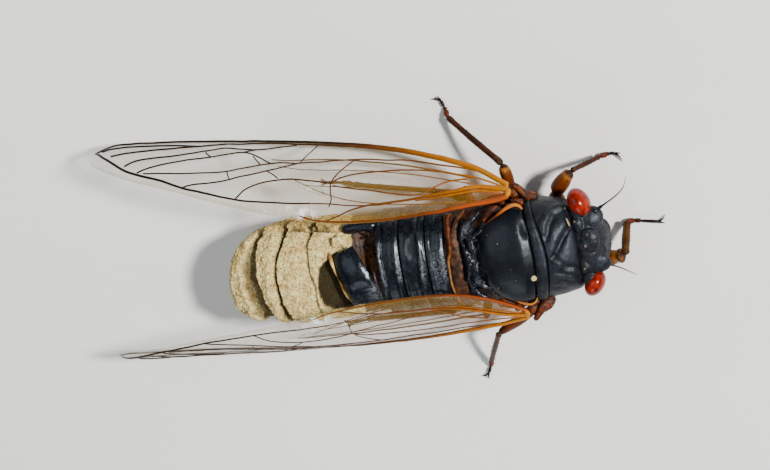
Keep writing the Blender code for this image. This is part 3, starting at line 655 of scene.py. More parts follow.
toe = makeLimb("toe", [(0.0, (0.08, 0.014, 0.004)), (0.35, (0.05, 0.009, 0.003)),
                       (0.6, (0.012, 0.005, 0.004)), (1.0, (0.005, 0.004, 0.003))], 0.1)
print("materials made")


# Camera and light

cameraSettings = {
    "aim": (-10.166, 3.019, 8.288),
    "leanToHead": 18.0,
    "leanToLeft": 12.0,
    "roll": 6.2,
    "distance": 176.03,
    "lens": 100.0,
    "sensor": 36.0,
}


def placeCamera(settings):
    lean = [math.sin(math.radians(settings[key])) for key in ("leanToHead", "leanToLeft")]
    back = Vector((lean[0], lean[1], math.sqrt(1 - lean[0] ** 2 - lean[1] ** 2)))
    level = (Vector((1.0, 0.0, 0.0)) - back * back.x).normalized()
    upright = back.cross(level)
    roll = math.radians(settings["roll"])
    right = level * math.cos(roll) - upright * math.sin(roll)
    up = level * math.sin(roll) + upright * math.cos(roll)
    data = bpy.data.cameras.new("camera")
    data.lens = settings["lens"]
    data.sensor_width = settings["sensor"]
    data.clip_start = 0.01
    data.clip_end = 20.0
    camera = bpy.data.objects.new("camera", data)
    bpy.context.scene.collection.objects.link(camera)
    place = toRow @ (Vector(settings["aim"]) + back * settings["distance"])
    camera.matrix_world = Matrix.Translation(place) @ Matrix((right, up, back)).transposed().to_4x4()
    bpy.context.scene.camera = camera


lightSettings = {
    "middle": (-8.0, 0.0, 4.0),
    "key": {"azimuth": 12.0, "height": 46.0, "distance": 0.5, "size": 0.06, "energy": 5.7,
            "colour": (1.0, 0.96, 0.9)},
    "fill": {"azimuth": 150.0, "height": 60.0, "distance": 0.45, "size": 0.4, "energy": 0.75,
             "colour": (0.92, 0.96, 1.0)},
    "rim": {"azimuth": -100.0, "height": 35.0, "distance": 0.45, "size": 0.3, "energy": 0.7,
            "colour": (0.95, 0.98, 1.0)},
    "world": 0.12,
}


def placeLights(settings):
    middle = toRow @ Vector(settings["middle"])
    for word in ("key", "fill", "rim"):
        values = settings[word]
        azimuth, height = math.radians(values["azimuth"]), math.radians(values["height"])
        level = math.cos(height)
        away = Vector((math.cos(azimuth) * level, math.sin(azimuth) * level, math.sin(height)))
        data = bpy.data.lights.new(word + "Light", "AREA")
        data.shape = "DISK"
        data.size = values["size"]
        data.energy = values["energy"]
        data.specular_factor = 1.0 if word == "key" else 0.0
        data.color = values["colour"]
        lamp = bpy.data.objects.new(word + "Light", data)
        bpy.context.scene.collection.objects.link(lamp)
        lamp.location = middle + away * values["distance"]
        lamp.rotation_euler = away.to_track_quat("Z", "Y").to_euler()
    world = bpy.data.worlds.new("studio")
    world.use_nodes = True
    world.node_tree.nodes["Background"].inputs["Color"].default_value = (0.93, 0.96, 1.0, 1.0)
    world.node_tree.nodes["Background"].inputs["Strength"].default_value = settings["world"]
    bpy.context.scene.world = world


def placeFloor():
    bm = bmesh.new()
    bmesh.ops.create_grid(bm, x_segments=1, y_segments=1, size=1.5)
    floor = newObject(bm, "floor")
    floor.data.materials.append(makeFloor())


placeCamera(cameraSettings)
placeLights(lightSettings)
placeFloor()
print("camera, light and floor set")


# Thorax plates: x, half width, side height, top, bottom, sweep, squareness

thoraxSettings = {
    "pronotum": ((5.35, 3.35, 5.4, 7.3, 4.4, 0.1, 2.3), (4.95, 3.75, 5.4, 7.75, 4.3, 0.25, 2.3),
                 (4.4, 3.95, 5.4, 8.05, 4.2, 0.5, 2.3), (3.9, 4.08, 5.4, 8.28, 4.2, 0.75, 2.4),
                 (3.08, 4.2, 5.4, 8.45, 4.2, 1.1, 2.5)),
    "collar": ((3.0, 4.36, 5.4, 8.6, 4.3, 1.05, 2.5), (2.5, 4.43, 5.4, 8.78, 4.3, 0.95, 2.5),
               (2.08, 4.36, 5.4, 8.64, 4.3, 0.75, 2.5)),
    "mesonotum": ((1.97, 4.15, 6.8, 8.55, 5.9, 0.75, 2.1), (1.2, 4.24, 6.8, 8.96, 5.9, 0.7, 2.1),
                  (0.0, 4.1, 6.8, 9.12, 5.9, 0.5, 2.1), (-1.3, 3.6, 6.8, 9.02, 5.9, 0.2, 2.1),
                  (-2.2, 2.95, 6.8, 8.72, 5.9, 0.0, 2.1), (-2.65, 2.5, 6.8, 8.35, 5.9, 0.0, 2.1)),
    "core": ((5.5, 2.6, 5.0, 6.9, 3.2, 0.0, 2.3), (4.6, 3.7, 5.0, 7.4, 2.8, 0.3, 2.3),
             (2.0, 4.15, 5.0, 8.2, 2.4, 1.0, 2.4), (-0.5, 4.2, 5.0, 8.4, 2.2, 0.4, 2.4),
             (-3.0, 4.1, 5.0, 7.5, 2.0, 0.0, 2.4), (-5.2, 4.1, 5.0, 7.6, 1.9, 0.0, 2.4)),
    "around": 300,
    "yaw": 0.05,
    "pronotumGrain": ((0.035, 1.3), (0.008, 5.0)),
    "collarGrain": ((0.045, 1.4), (0.006, 12.0)),
    "mesonotumGrain": ((0.02, 0.8), (0.005, 6.0)),
    # the oblique folds of the pronotum
    "strokes": (
        (((4.28, 3.44), (3.81, 3.37), (3.43, 2.91), (3.08, 2.48), (3.12, 1.83)), 0.45, 0.13),
        (((4.47, 2.16), (4.09, 1.58), (3.7, 0.98), (3.46, 0.2)), 0.85, 0.16),
        (((5.5, 1.15), (5.2, 0.54), (4.77, -0.06), (4.44, -0.56)), 1.0, 0.22),
        (((3.66, -0.61), (4.04, -1.05)), 0.45, 0.12),
        (((3.55, -1.24), (4.15, -1.51), (4.87, -1.81)), 0.36, 0.08),
        (((3.11, -1.88), (3.93, -1.99), (4.62, -2.37)), 0.42, 0.1),
        (((2.97, -2.55), (3.78, -2.66), (4.37, -2.89)), 0.42, 0.07),
        (((4.45, 3.08), (3.88, 3.01), (3.55, 2.26), (3.43, 1.7), (3.3, 1.2)), 0.4, -0.12),
        (((5.09, 1.85), (4.49, 1.1), (3.98, 0.23), (3.73, -0.13)), 0.42, -0.17),
        (((3.64, -0.33), (4.14, -0.85), (4.69, -1.4), (5.3, -1.78)), 0.4, -0.13),
        (((3.0, -2.2), (3.85, -2.32), (4.5, -2.62)), 0.3, -0.05),
    ),
}


def turned(point):  # the front of the thorax looks a little to its left
    point.x -= thoraxSettings["yaw"] * point.y * rampUp(point.x, 1.6, 2.6)
    return point


def pronotumRelief(point):
    if point.z < 5.0:
        return 0.02 * grain(point, 3.0)
    rise = strokeRise(turned(point.copy()), thoraxSettings["strokes"]) * rampUp(point.z, 5.2, 6.6)
    return rise + grains(point, thoraxSettings["pronotumGrain"])


def collarRelief(point):
    across = point.x + 1.05 * (point.y / 4.4) ** 2  # the sweep of the collar taken out
    rim = 0.03 * hump(across - 2.88, 0.24) - 0.03 * hump(across - 2.5, 0.3)
    return rim + grains(point, thoraxSettings["collarGrain"])


def mesonotumRelief(point):
    x, y, z = point
    if z < 6.8:
        return 0.0
    rear = -0.2 * hump(x + 2.3, 0.45) * hump(abs(y) - 1.3, 0.8)
    dip = -0.26 * hump(y - 2.3, 1.1) * hump(x - 1.75, 0.7)  # the fold beside the collar
    return rear + dip + grains(point, thoraxSettings["mesonotumGrain"])


# painted sheen: how much the raised folds of the pronotum are lightened
def pronotumSheen(point):
    rise = strokeRise(point, thoraxSettings["strokes"]) + 0.08 * grain(point, 0.9, 4)
    return rampUp(rise, 0.02, 0.2) * rampUp(point.z, 6.6, 7.6)


def collarSheen(point):  # painted highlight: a silver band of sheen over the middle of the collar
    return hump(point.y - 0.1, 1.8) * rampUp(grain(point, 1.6, 4), -0.5, 0.4) * rampUp(point.z, 7.4, 8.2)


around = thoraxSettings["around"]
pronotumShape = paint(loft(thoraxSettings["pronotum"], around, 90, pronotumRelief, 0.08, turned), "litCrown",
                      pronotumSheen)
pronotumTree = BVHTree.FromBMesh(pronotumShape)
finishPiece(pronotumShape, "pronotumPlate", headCuticle, ["pronotum"])
collarShape = paint(loft(thoraxSettings["collar"], around, 40, collarRelief, 0.07, turned), "litCrown",
                    collarSheen)
finishPiece(collarShape, "collarBand", collarCuticle, ["pronotal_collar"])
mesonotumShape = loft(thoraxSettings["mesonotum"], around, 110, mesonotumRelief, 0.12, turned)
mesonotumTree = BVHTree.FromBMesh(mesonotumShape)
finishPiece(mesonotumShape, "mesonotumDome", blackCuticle, ["mesonotum"])
print("pronotum, collar and mesonotum made")


# Cross-shaped scutellum, metanotum and the ridges beside them

crossSettings = {
    "base": ((-2.45, 2.5, 6.8, 7.95, 5.9, 0.0, 2.0), (-3.0, 2.8, 6.8, 8.1, 5.9, 0.0, 2.0),
             (-3.9, 3.2, 6.8, 7.75, 5.9, 0.0, 2.0), (-4.15, 3.3, 6.8, 7.6, 5.9, 0.0, 2.0)),
    "lobe": ((-3.0, 0.95, 8.1), (0.42, 1.05, 0.42), 12.0),
    "centre": ((-3.35, 0.0, 8.2), (0.4, 0.4, 0.34)),
    # raised arms: path, radii, sides, rows, and how much lower the right one lies
    "arms": ((((-2.95, 1.6, 8.1), (-2.65, 2.1, 8.15), (-2.2, 2.35, 8.05), (-1.95, 2.75, 7.8)),
              (0.2, 0.18, 0.16, 0.12), 12, 20, 0.0),
             (((-2.75, 1.95, 8.2), (-2.4, 1.7, 8.38)), (0.14, 0.1), 10, 10, 0.0),
             (((-3.35, 0.1, 8.3), (-3.6, 0.9, 8.2), (-3.9, 1.7, 7.9)), (0.26, 0.2, 0.16), 12, 16, 0.0),
             (((-2.05, 3.95, 7.6), (-2.6, 3.5, 7.85), (-3.2, 3.0, 7.98), (-3.55, 2.5, 8.02),
               (-3.8, 2.05, 7.95), (-4.1, 1.6, 7.75)), (0.1, 0.2, 0.27, 0.3, 0.24, 0.12), 14, 40, 0.45)),
    "voxel": 0.045,
    "grain": ((0.035, 2.2), (0.014, 9.0)),
    "metanotum": ((-4.12, 3.3, 6.8, 7.7, 5.9, 0.0, 2.2), (-4.5, 3.7, 6.8, 7.9, 5.9, 0.0, 2.2),
                  (-5.0, 3.95, 6.8, 7.95, 5.9, 0.0, 2.2), (-5.35, 3.95, 6.8, 7.85, 5.9, 0.0, 2.2)),
}


def crossRelief(point):
    pits = sum(hump((point - Vector((-2.45, side * 0.5, 8.3))).length, 0.55) for side in (1, -1))
    return -0.14 * pits + grains(point, crossSettings["grain"])


crossShapes = [loft(crossSettings["base"], 60, 20), blob(*crossSettings["centre"])]
for side in (1, -1):
    (x, y, z), radii, turn = crossSettings["lobe"]
    crossShapes.append(blob((x, side * y, z), radii, (0.0, 0.0, side * turn)))
    for path, radii, sides, rows, drop in crossSettings["arms"]:
        crossShapes.append(tube(mirrored(path, side, drop), radii, sides, rows))
crossShape = pushOut(melt(crossShapes, crossSettings["voxel"]), crossRelief)
crossTree = BVHTree.FromBMesh(crossShape)
finishPiece(crossShape, "crossRidge", tergiteBlack, ["scutellum"])


def metanotumRelief(point):
    return 0.0 if point.z < 6.8 else 0.05 * grain(point, 2.0)


finishPiece(loft(crossSettings["metanotum"], 200, 26, metanotumRelief, 0.05), "metanotumPlate", darkFlesh,
            ["metanotum"])

cordSettings = {
    # pale cords and lobes: path and radii, on both sides
    "margin": (((1.5, 3.75, 7.55), (1.3, 4.1, 7.75), (0.9, 4.25, 7.85), (0.3, 4.08, 7.98), (-0.3, 3.75, 8.05),
                (-0.95, 3.38, 8.08), (-1.5, 3.02, 8.0), (-2.0, 2.65, 7.8)),
               (0.1, 0.16, 0.19, 0.17, 0.14, 0.11, 0.09, 0.05)),
    "lozenge": (((-0.45, 4.25, 7.5), (-0.95, 4.02, 7.7), (-1.45, 3.62, 7.75), (-1.9, 3.1, 7.75)),
                (0.12, 0.32, 0.26, 0.1)),
    "outer": (((-3.4, 4.15, 7.35), (-3.95, 3.6, 7.6), (-4.35, 3.15, 7.72), (-4.65, 2.4, 7.9)),
              (0.12, 0.15, 0.14, 0.08)),
    "slimRight": 0.65,  # the right margin is thinner
    "arc": ((-4.85, 3.95, 7.0), (-4.93, 3.4, 7.55), (-4.9, 2.75, 7.82), (-4.93, 2.1, 7.98),
            (-4.93, 1.35, 8.05), (-5.05, 0.75, 8.08), (-5.25, 0.15, 8.1), (-5.27, -0.7, 8.1),
            (-5.3, -1.6, 8.05), (-5.2, -2.5, 7.9), (-5.05, -3.3, 7.5), (-4.95, -3.9, 7.0)),
    "arcRadii": (0.14, 0.18, 0.21, 0.2, 0.18, 0.14, 0.1, 0.085, 0.1, 0.085, 0.09, 0.08),
    "beads": ((-2.74, 2.0, 0.06), (-2.88, 1.41, 0.05), (-3.25, 0.71, 0.07), (-3.5, 0.3, 0.05),
              (-3.31, -0.13, 0.07), (-2.74, -0.49, 0.05)),
}


def beaded(share, turn):
    bumps = noise.noise(Vector((share * 26.0, math.cos(turn), math.sin(turn))))
    return 0.22 * bumps + 0.1 * math.sin(share * 90)


marginShapes, lobeShapes = [], []
for side in (1, -1):
    slim = 1.0 if side > 0 else cordSettings["slimRight"]
    path, radii = cordSettings["margin"]
    marginShapes.append(tube(mirrored(path, side, 0.35), [r * slim for r in radii], 14, 60, 0.8))
    for key, sides in (("outer", 12), ("lozenge", 14)):
        path, radii = cordSettings[key]
        lobeShapes.append(tube(mirrored(path, side, 0.6), radii, sides, 30, 0.8))
finishPiece(joinShapes(marginShapes), "sideMargins", cordSkin)
finishPiece(joinShapes(lobeShapes), "sideLobes", orangeFlesh)
finishPiece(tube(cordSettings["arc"], cordSettings["arcRadii"], 16, 160, 0.9, beaded), "metanotumArc",
            arcSkin)
finishPiece(joinShapes(beadsOn(crossTree, cordSettings["beads"])), "rearBeads", tanBead)
print("cross ridge and metanotum made")


# Abdomen: three glossy rings over a dark inner skin

abdomenSettings = {
    "halfWidth": 4.38,
    "top": 8.42,
    "bottom": 1.5,
    "breaks": ((-5.42, -6.98), (-7.04, -9.22), (-9.3, -11.25)),
    # place across, half width and height of each fold
    "folds": {0: ((-5.75, 0.35, 0.04), (-6.35, 0.4, -0.05), (-6.75, 0.2, 0.04)),
              1: ((-7.55, 0.34, 0.12), (-8.15, 0.55, -0.1), (-8.85, 0.3, 0.04)),
              2: ((-9.65, 0.32, 0.07), (-10.2, 0.4, -0.04), (-10.76, 0.16, -0.15), (-11.05, 0.16, 0.05))},
    "inner": ((-4.9, 4.0, 4.9, 7.9, 1.9, 0.0, 2.3), (-8.0, 4.15, 4.9, 8.05, 1.85, 0.0, 2.3),
              (-11.2, 4.1, 4.9, 7.9, 1.9, 0.0, 2.3)),
}


def tergiteShape(index):
    values = abdomenSettings
    front, rear = values["breaks"][index]
    half, top, bottom = values["halfWidth"], values["top"], values["bottom"]
    stations = ((front, half - 0.1, 4.9, top - 0.16, bottom + 0.1, 0.0, 2.3),
                (front - 0.45, half, 4.9, top - 0.03, bottom, 0.0, 2.3),
                (rear + 0.35, half + 0.05, 4.9, top, bottom, 0.0, 2.3),
                (rear, half + 0.02, 4.9, top - 0.02, bottom, 0.0, 2.3))
    folds = values["folds"][index]
    pitX, pitY, _ = tergiteSettings["pit"][0]

    def relief(point):
        x, y, z = point
        wander = 0.1 * noise.noise(Vector((index * 3.0, y * 0.5, z * 0.5)))
        above = rampUp(z, 4.6, 6.2)
        amount = sum(height * hump(x - at - wander, width) for at, width, height in folds) * above
        amount += 0.05 * hump(x - rear, 0.3)
        below = (1 - above) * 0.06 * hump(z - 3.4, 0.5)
        pit = 0.1 * hump(math.hypot(x - pitX, 0.7 * (y - pitY)), 0.9) if index == 1 and z > 6 else 0.0
        worn = 0.05 * grain(point, 3.5, 4) * hump(x + 6.0, 0.7) * hump(y + 0.2, 2.4) if index == 0 else 0.0
        texture = 0.035 * grain(point, 0.9) + 0.012 * grain(Vector((x * 2, y, z)), 2.2)
        return amount - below - pit + worn + texture

    return loft(stations, 300, 76, relief, 0.08)


for index in range(3):
    finishPiece(tergiteShape(index), "tergiteRing%d" % (index + 3), tergiteBlack,
                ["abdomen_segment_%d" % (index + 3)])
finishPiece(loft(abdomenSettings["inner"], 80, 40), "abdomenCore", darkFlesh)
print("abdomen rings made")


# Spore plug: crumbly bands, grooves, side lumps, a tongue and the bite at its front

plugSettings = {
    "body": ((-13.75, 4.05, 4.9, 8.05, 1.75, 0.0, 2.4), (-15.5, 4.25, 4.9, 8.35, 1.5, 0.0, 2.6),
             (-19.0, 4.35, 4.9, 8.42, 1.4, 0.0, 2.7), (-22.0, 4.1, 4.9, 8.2, 1.5, 0.0, 2.6),
             (-23.6, 3.6, 4.9, 7.8, 1.8, 0.0, 2.5), (-24.6, 2.85, 4.9, 7.2, 2.4, 0.0, 2.4),
             (-25.2, 2.0, 4.9, 6.6, 3.0, 0.0, 2.3), (-25.45, 1.35, 4.9, 6.1, 3.6, 0.0, 2.2)),
    # grooves: y, x, half widths ahead and behind, and depth along each, then how dark its painted shade is
    "grooves": (
        (((-3.4, -17.2, 0.12, 0.12, 0.12), (-1.2, -17.05, 0.12, 0.14, 0.14), (0.9, -17.26, 0.13, 0.14, 0.2),
          (1.95, -17.2, 0.13, 0.16, 0.24), (2.8, -17.2, 0.16, 0.2, 0.26), (3.9, -16.7, 0.2, 0.24, 0.3)),
         0.75),
        (((-3.6, -20.0, 0.3, 0.8, 0.5), (-1.8, -20.3, 0.2, 0.42, 0.45), (-0.5, -20.33, 0.16, 0.28, 0.42),
          (1.0, -20.33, 0.15, 0.26, 0.4), (1.9, -20.08, 0.16, 0.3, 0.44), (3.05, -19.6, 0.2, 0.34, 0.46),
          (4.1, -19.3, 0.26, 0.42, 0.5)), 0.95),
        (((-3.7, -21.4, 0.3, 2.5, 0.6), (-2.3, -21.8, 0.26, 2.5, 0.72), (-1.0, -22.1, 0.24, 2.4, 0.78),
          (0.4, -22.28, 0.22, 2.2, 0.78), (2.0, -22.2, 0.22, 1.7, 0.7), (3.9, -21.65, 0.22, 0.8, 0.45)),
         0.82),
    ),
    "crests": (
        (((-20.3, 3.6), (-20.9, 2.0), (-21.2, 0.0), (-21.1, -1.5), (-20.9, -3.3)), 0.7, 0.17),
        (((-22.9, 3.3), (-24.0, 2.3), (-24.6, 1.0), (-24.85, -0.5), (-24.8, -2.2)), 0.6, 0.2),
        (((-18.2, 3.6), (-18.7, 1.5), (-19.0, -1.0), (-18.8, -3.0)), 1.1, 0.1),
    ),
    "lumps": (((-15.75, 3.74, 6.35), (1.25, 0.76, 0.86)), ((-18.25, 3.92, 6.4), (1.2, 0.78, 0.86)),
              ((-20.6, 3.72, 6.2), (1.05, 0.7, 0.8)), ((-22.4, 3.1, 5.7), (0.7, 0.6, 0.7))),
    "gaps": (-17.05, -19.5, -21.6, -23.1),
    "tongue": ((-14.25, 2.8, 7.95), (0.6, 0.46, 0.34), (0.0, 0.0, -4.0)),
    "bite": ((-14.6, -1.5, 8.5), (2.45, 3.7, 1.6)),
    "biteDepth": 0.6,
    "bend": 0.75,
    "voxel": 0.075,
}


def bentPlug(point):  # the tip swings to the insect's right
    point.y -= plugSettings["bend"] * rampUp(-point.x, 21.5, 26.5)
    return point


def grooveDepth(point):
    depth, dark = 0.0, 0.0
    wander = 0.1 * grain(point, 0.9, 4)
    for line, shade in plugSettings["grooves"]:
        y = min(max(point.y, line[0][0]), line[-1][0])
        x, ahead, behind, deep = (smoothValue(line, y, c) for c in (1, 2, 3, 4))
        away = point.x - x + wander
        width = (ahead if away > 0 else behind) * (1 + 0.3 * noise.noise(point * 1.1))
        depth += deep * (1 - rampUp(abs(away), 0.5 * width, 0.8 * width))
        # painted shade: each groove's floor is darkened, a little more near its cliff
        near = 0.92 + 0.08 * hump(away, 0.5)
        dark = max(dark, shade * near * (1 - rampUp(abs(away), 0.6 * width, 0.74 * width)))
    return depth, dark


def biteShare(point):
    centre, radii = plugSettings["bite"]
    away = Vector(((point[k] - centre[k]) / radii[k] for k in range(3))).length
    return 1 - rampUp(away + 0.05 * grain(point, 1.2), 0.88, 1.0)


def shelfLine(x):
    return 3.35 + 0.114 * (-14.1 - x)


def lumpGap(point):  # the notches between the lumps of the left side
    if point.y < shelfLine(point.x) - 0.1 or point.z < 4.5:
        return 0.0
    return max(hump(point.x - x + 0.1 * grain(point, 1.5), 0.34) for x in plugSettings["gaps"])


def plugRelief(point):
    top = rampUp(point.z, 3.0, 6.0)
    depth, _ = grooveDepth(point)
    bite = biteShare(point)
    crumbs = 0.12 * grain(point, 1.3, 5) + 0.1 * grain(point, 4.5, 4)
    crumbs += strokeRise(point, plugSettings["crests"]) * top
    cell = noise.voronoi(point * 2.4)[0][0]
    pits = -0.16 * (1 - rampUp(cell, 0.0, 0.3)) * (1 - bite)
    shelf = shelfLine(point.x)
    crevice = -0.4 * rampUp(point.y, shelf, shelf + 0.12) * hump(point.z - 7.25, 0.5)
    crevice -= 0.45 * lumpGap(point)
    sunk = -depth * (0.35 + 0.65 * top) - plugSettings["biteDepth"] * bite
    return sunk + crumbs * (1 - 0.6 * bite) + pits + crevice


# painted shade: grooves, the shelf crevice, the notches between lumps, pits and low crumbs are darkened, and
# the bite under the loose tergite is darkened as its painted shadow
def plugPaintedShade(point):
    _, dark = grooveDepth(point)
    top = rampUp(point.z, 3.0, 6.0)
    speckle = rampUp(grain(point, 3.2, 4), 0.1, 0.9)
    shelf = shelfLine(point.x)
    crevice = rampUp(point.y, shelf - 0.05, shelf + 0.1) * hump(point.z - 7.3, 0.42)
    bite = rampUp(biteShare(point), 0.3, 0.6)
    hole = 0.6 * (1 - rampUp(noise.voronoi(point * 2.4)[0][0], 0.05, 0.22))
    low = 0.55 * rampUp(-grain(point, 4.5, 4), 0.2, 0.8)
    return min(max(dark * (0.3 + 0.7 * top) * (1.0 - 0.3 * speckle), 0.85 * crevice, 0.97 * bite, hole, low,
                   0.9 * lumpGap(point)), 1.0)


def plugTan(point):  # the lumps are tan, partly their own colour and partly painted shade of the wing above them; the underside is browner
    shelf = shelfLine(point.x)
    lump = rampUp(point.y, shelf - 0.1, shelf + 0.05) * (1 - rampUp(point.z, 7.1, 7.3))
    return max(0.9 * lump, 0.5 * (1 - rampUp(point.z, 3.2, 5.6)))


plugShapes = [loft(plugSettings["body"], 90, 60, warp=bentPlug)]
plugShapes += [blob(centre, radii) for centre, radii in plugSettings["lumps"]]
plugShapes.append(block(*plugSettings["tongue"]))
plugShape = melt(plugShapes, plugSettings["voxel"] * (1))
paint(paint(plugShape, "tan", plugTan), "paintedShade", plugPaintedShade)
finishPiece(pushOut(plugShape, plugRelief), "sporePlug", plugChalk, ["spore_plug"])
print("spore plug made")


# Torn hollow between the last ring and the plug

hollowSettings = {
    "floor": ((-11.15, 4.15, 4.9, 6.9, 1.6, 0.0, 2.6), (-12.3, 4.1, 4.9, 6.35, 1.6, 0.0, 2.6),
              (-14.2, 4.1, 4.9, 6.9, 1.7, 0.0, 2.6)),
    "wall": (((-11.2, 3.5, 6.75), (-12.0, 3.7, 6.95), (-12.9, 3.65, 7.0), (-14.3, 3.5, 6.8)),
             (0.5, 0.44, 0.5, 0.45)),
    "sliver": (((-11.95, 0.3, 7.3), (-11.85, -0.6, 7.75), (-11.75, -1.7, 7.7)), (0.05, 0.14, 0.08)),
    "shredRadii": (0.14, 0.1, 0.05),
    "shreds": 16,
}


def hollowRelief(point):
    folds = 0.16 * grain(Vector((point.x * 2.0, point.y * 0.7, point.z)), 1.1, 4)
    return folds if point.z > 4.0 else 0.03 * grain(point, 2.0)


hollowShapes = [loft(hollowSettings["floor"], 160, 60, hollowRelief, 0.05)]
for index in range(hollowSettings["shreds"]):  # torn strands of inner tissue
    y = rng.uniform(-1.8, 3.2)
    start = Vector((rng.uniform(-12.9, -11.4), y, 6.3))
    bend = Vector((rng.uniform(-0.4, 0.4), rng.uniform(-0.4, 0.4), rng.uniform(0.35, 0.8)))
    hollowShapes.append(tube([start, start + bend * 0.6, start + bend + Vector((0.2, 0.0, 0.0))],
                             hollowSettings["shredRadii"], 8, 8))
finishPiece(joinShapes(hollowShapes), "hollowLining", hollowBrown, ["abdomen_hollow"])
finishPiece(tube(*hollowSettings["wall"], 24, 40), "hollowWall", tergiteBlack)
finishPiece(tube(*hollowSettings["sliver"], 10, 30, 0.6), "paleSliver", ocellusGlass)


# Loose tergite: an arched band with a golden rim

flapSettings = {
    # corners rear-left, front-left, front-right, rear-right as x, y, z
    "corners": ((-14.82, 1.61, 8.25), (-13.19, 2.26, 8.3), (-11.33, -2.3, 8.2), (-13.87, -2.51, 8.1)),
    "rise": (0.309, 0.208, 0.928),
    "arch": 0.8,
    "round": 0.34,
    "thick": 0.28,
    # the golden rim thins out where its two halves meet
    "rims": ((((-15.17, 2.08, 8.4), (-15.12, 1.4, 8.55), (-14.98, 0.75, 8.6), (-14.84, 0.0, 8.56)),
              (0.08, 0.18, 0.15, 0.07)),
             (((-14.84, 0.0, 8.56), (-14.62, -0.75, 8.5), (-14.36, -1.6, 8.4), (-14.03, -2.4, 8.22)),
              (0.05, 0.13, 0.18, 0.1))),
}


def flapPlace(u, v):
    a, b, c, d = (Vector(p) for p in flapSettings["corners"])
    place = a.lerp(d, u).lerp(b.lerp(c, u), v)
    turn, over = 2 * u - 1, 2 * v - 1
    lift = flapSettings["arch"] * (1 - abs(turn) ** 2.2) + flapSettings["round"] * (1 - abs(over) ** 2.6)
    lift -= 0.16 * hump(u - 0.7, 0.14) * hump(v - 0.45, 0.5)
    lift += 0.12 * hump(u - 0.86, 0.12) * hump(v - 0.7, 0.4)
    lift += 0.035 * grain(place, 1.3) - 0.2 * rampUp(v, 0.9, 1.0) * rampUp(u, 0.5, 0.7)
    return place + Vector(flapSettings["rise"]) * lift


flapShape = gridShape(130, 60, flapPlace, closed=False)
bmesh.ops.recalc_face_normals(flapShape, faces=flapShape.faces)
bmesh.ops.solidify(flapShape, geom=flapShape.faces[:], thickness=-flapSettings["thick"])
bmesh.ops.recalc_face_normals(flapShape, faces=flapShape.faces)
finishPiece(flapShape, "looseTergite", tergiteBlack, ["loose_tergite"])
rimShapes = [tube(path, radii, 12, 50, 0.85, beaded) for path, radii in flapSettings["rims"]]
finishPiece(joinShapes(rimShapes), "goldenRim", rimTan)
print("hollow and loose tergite made")


# Head: one fused capsule, a ribbed clypeus, eyes and three ocelli

headSettings = {
    "skull": ((5.3, 3.1, 5.6, 7.1, 3.2, 0.0, 2.2), (5.9, 3.25, 5.7, 7.35, 3.0, 0.0, 2.2),
              (6.6, 2.9, 5.7, 7.25, 3.0, 0.0, 2.2), (7.1, 2.2, 5.6, 6.8, 3.2, 0.0, 2.1),
              (7.5, 1.3, 5.5, 6.3, 3.6, 0.0, 2.0)),
    "blobs": (((5.8, 2.85, 6.3), (0.85, 0.85, 0.95)), ((5.9, -2.8, 6.2), (0.8, 0.8, 0.95)),
              ((6.45, 0.5, 7.05), (0.85, 1.1, 0.48)), ((5.7, 1.9, 7.0), (0.5, 0.7, 0.42)),
              ((5.75, -1.6, 6.95), (0.5, 0.7, 0.42)), ((6.6, 0, 3.4), (0.75, 1.0, 0.7))),
    "plates": (((6.62, 2.22, 6.48), (1.15, 0.95, 0.5), (-12.0, 18.0, 16.0)),
               ((6.78, -1.6, 6.38), (1.05, 0.85, 0.48), (12.0, 18.0, -14.0))),
    # centres of the painted sheen on the head
    "sheenAndBloom": ((6.9, 2.5, 6.9), (7.1, 1.8, 6.9), (6.9, -1.4, 6.8), (6.5, 0.6, 7.5), (5.9, 0.5, 7.4)),
    "tee": (((5.9, 1.45, 7.26), (6.4, 1.42, 7.34), (6.75, 1.42, 7.2)), (0.1, 0.13, 0.08)),
    "voxel": 0.05,
    "grain": ((0.025, 1.7), (0.008, 6.0)),
    "clypeus": {"centre": (6.7, 0.4, 5.0), "radii": (1.12, 1.42, 2.0), "ribs": 11},
    "ocelli": ((6.42, 1.05, 7.48), (6.15, 0.12, 7.48), (6.8, 0.72, 7.36)),
    "ocellusRadius": 0.14,
    "marks": ((4.68, 3.59, 0.08), (4.76, 3.23, 0.09), (5.53, 2.21, 0.08), (6.48, 2.66, 0.09),
              (5.12, -1.88, 0.1), (5.76, -1.77, 0.11), (4.91, -2.78, 0.08), (4.36, -2.94, 0.09),
              (4.97, -2.08, 0.07)),
    "strip": (((4.95, 2.62, 7.58), (5.08, 2.3, 7.66), (5.18, 1.95, 7.68)), (0.06, 0.1, 0.06)),
}


def headRelief(point):
    x, y, z = point
    border = -0.1 * hump(abs(abs(y - 0.5) - 1.0), 0.14) * hump(x - 6.4, 0.8) * rampUp(z, 6.5, 6.9)
    middle = -0.08 * hump(y - 0.55, 0.1) * rampUp(z, 6.6, 7.0)
    return border + middle + grains(point, headSettings["grain"])


# painted sheen: the head plates and the ocellar mound lightened around the given centres
def headSheen(point):
    away = min((point - Vector(centre)).length for centre in headSettings["sheenAndBloom"])
    return (1 - rampUp(away, 0.35, 0.8)) * rampUp(grain(point, 1.6, 4), -0.4, 0.5)


headShapes = [loft(headSettings["skull"], 70, 30)] + [blob(c, r) for c, r in headSettings["blobs"]]
headShapes += [blob(*plate) for plate in headSettings["plates"]]
headShapes.append(tube(*headSettings["tee"], 10, 16))
headShape = pushOut(melt(headShapes, headSettings["voxel"] * (1), 3), headRelief)
paint(headShape, "litCrown", headSheen)
headTree = BVHTree.FromBMesh(headShape)
finishPiece(headShape, "headCapsule", headCuticle, ["head"])


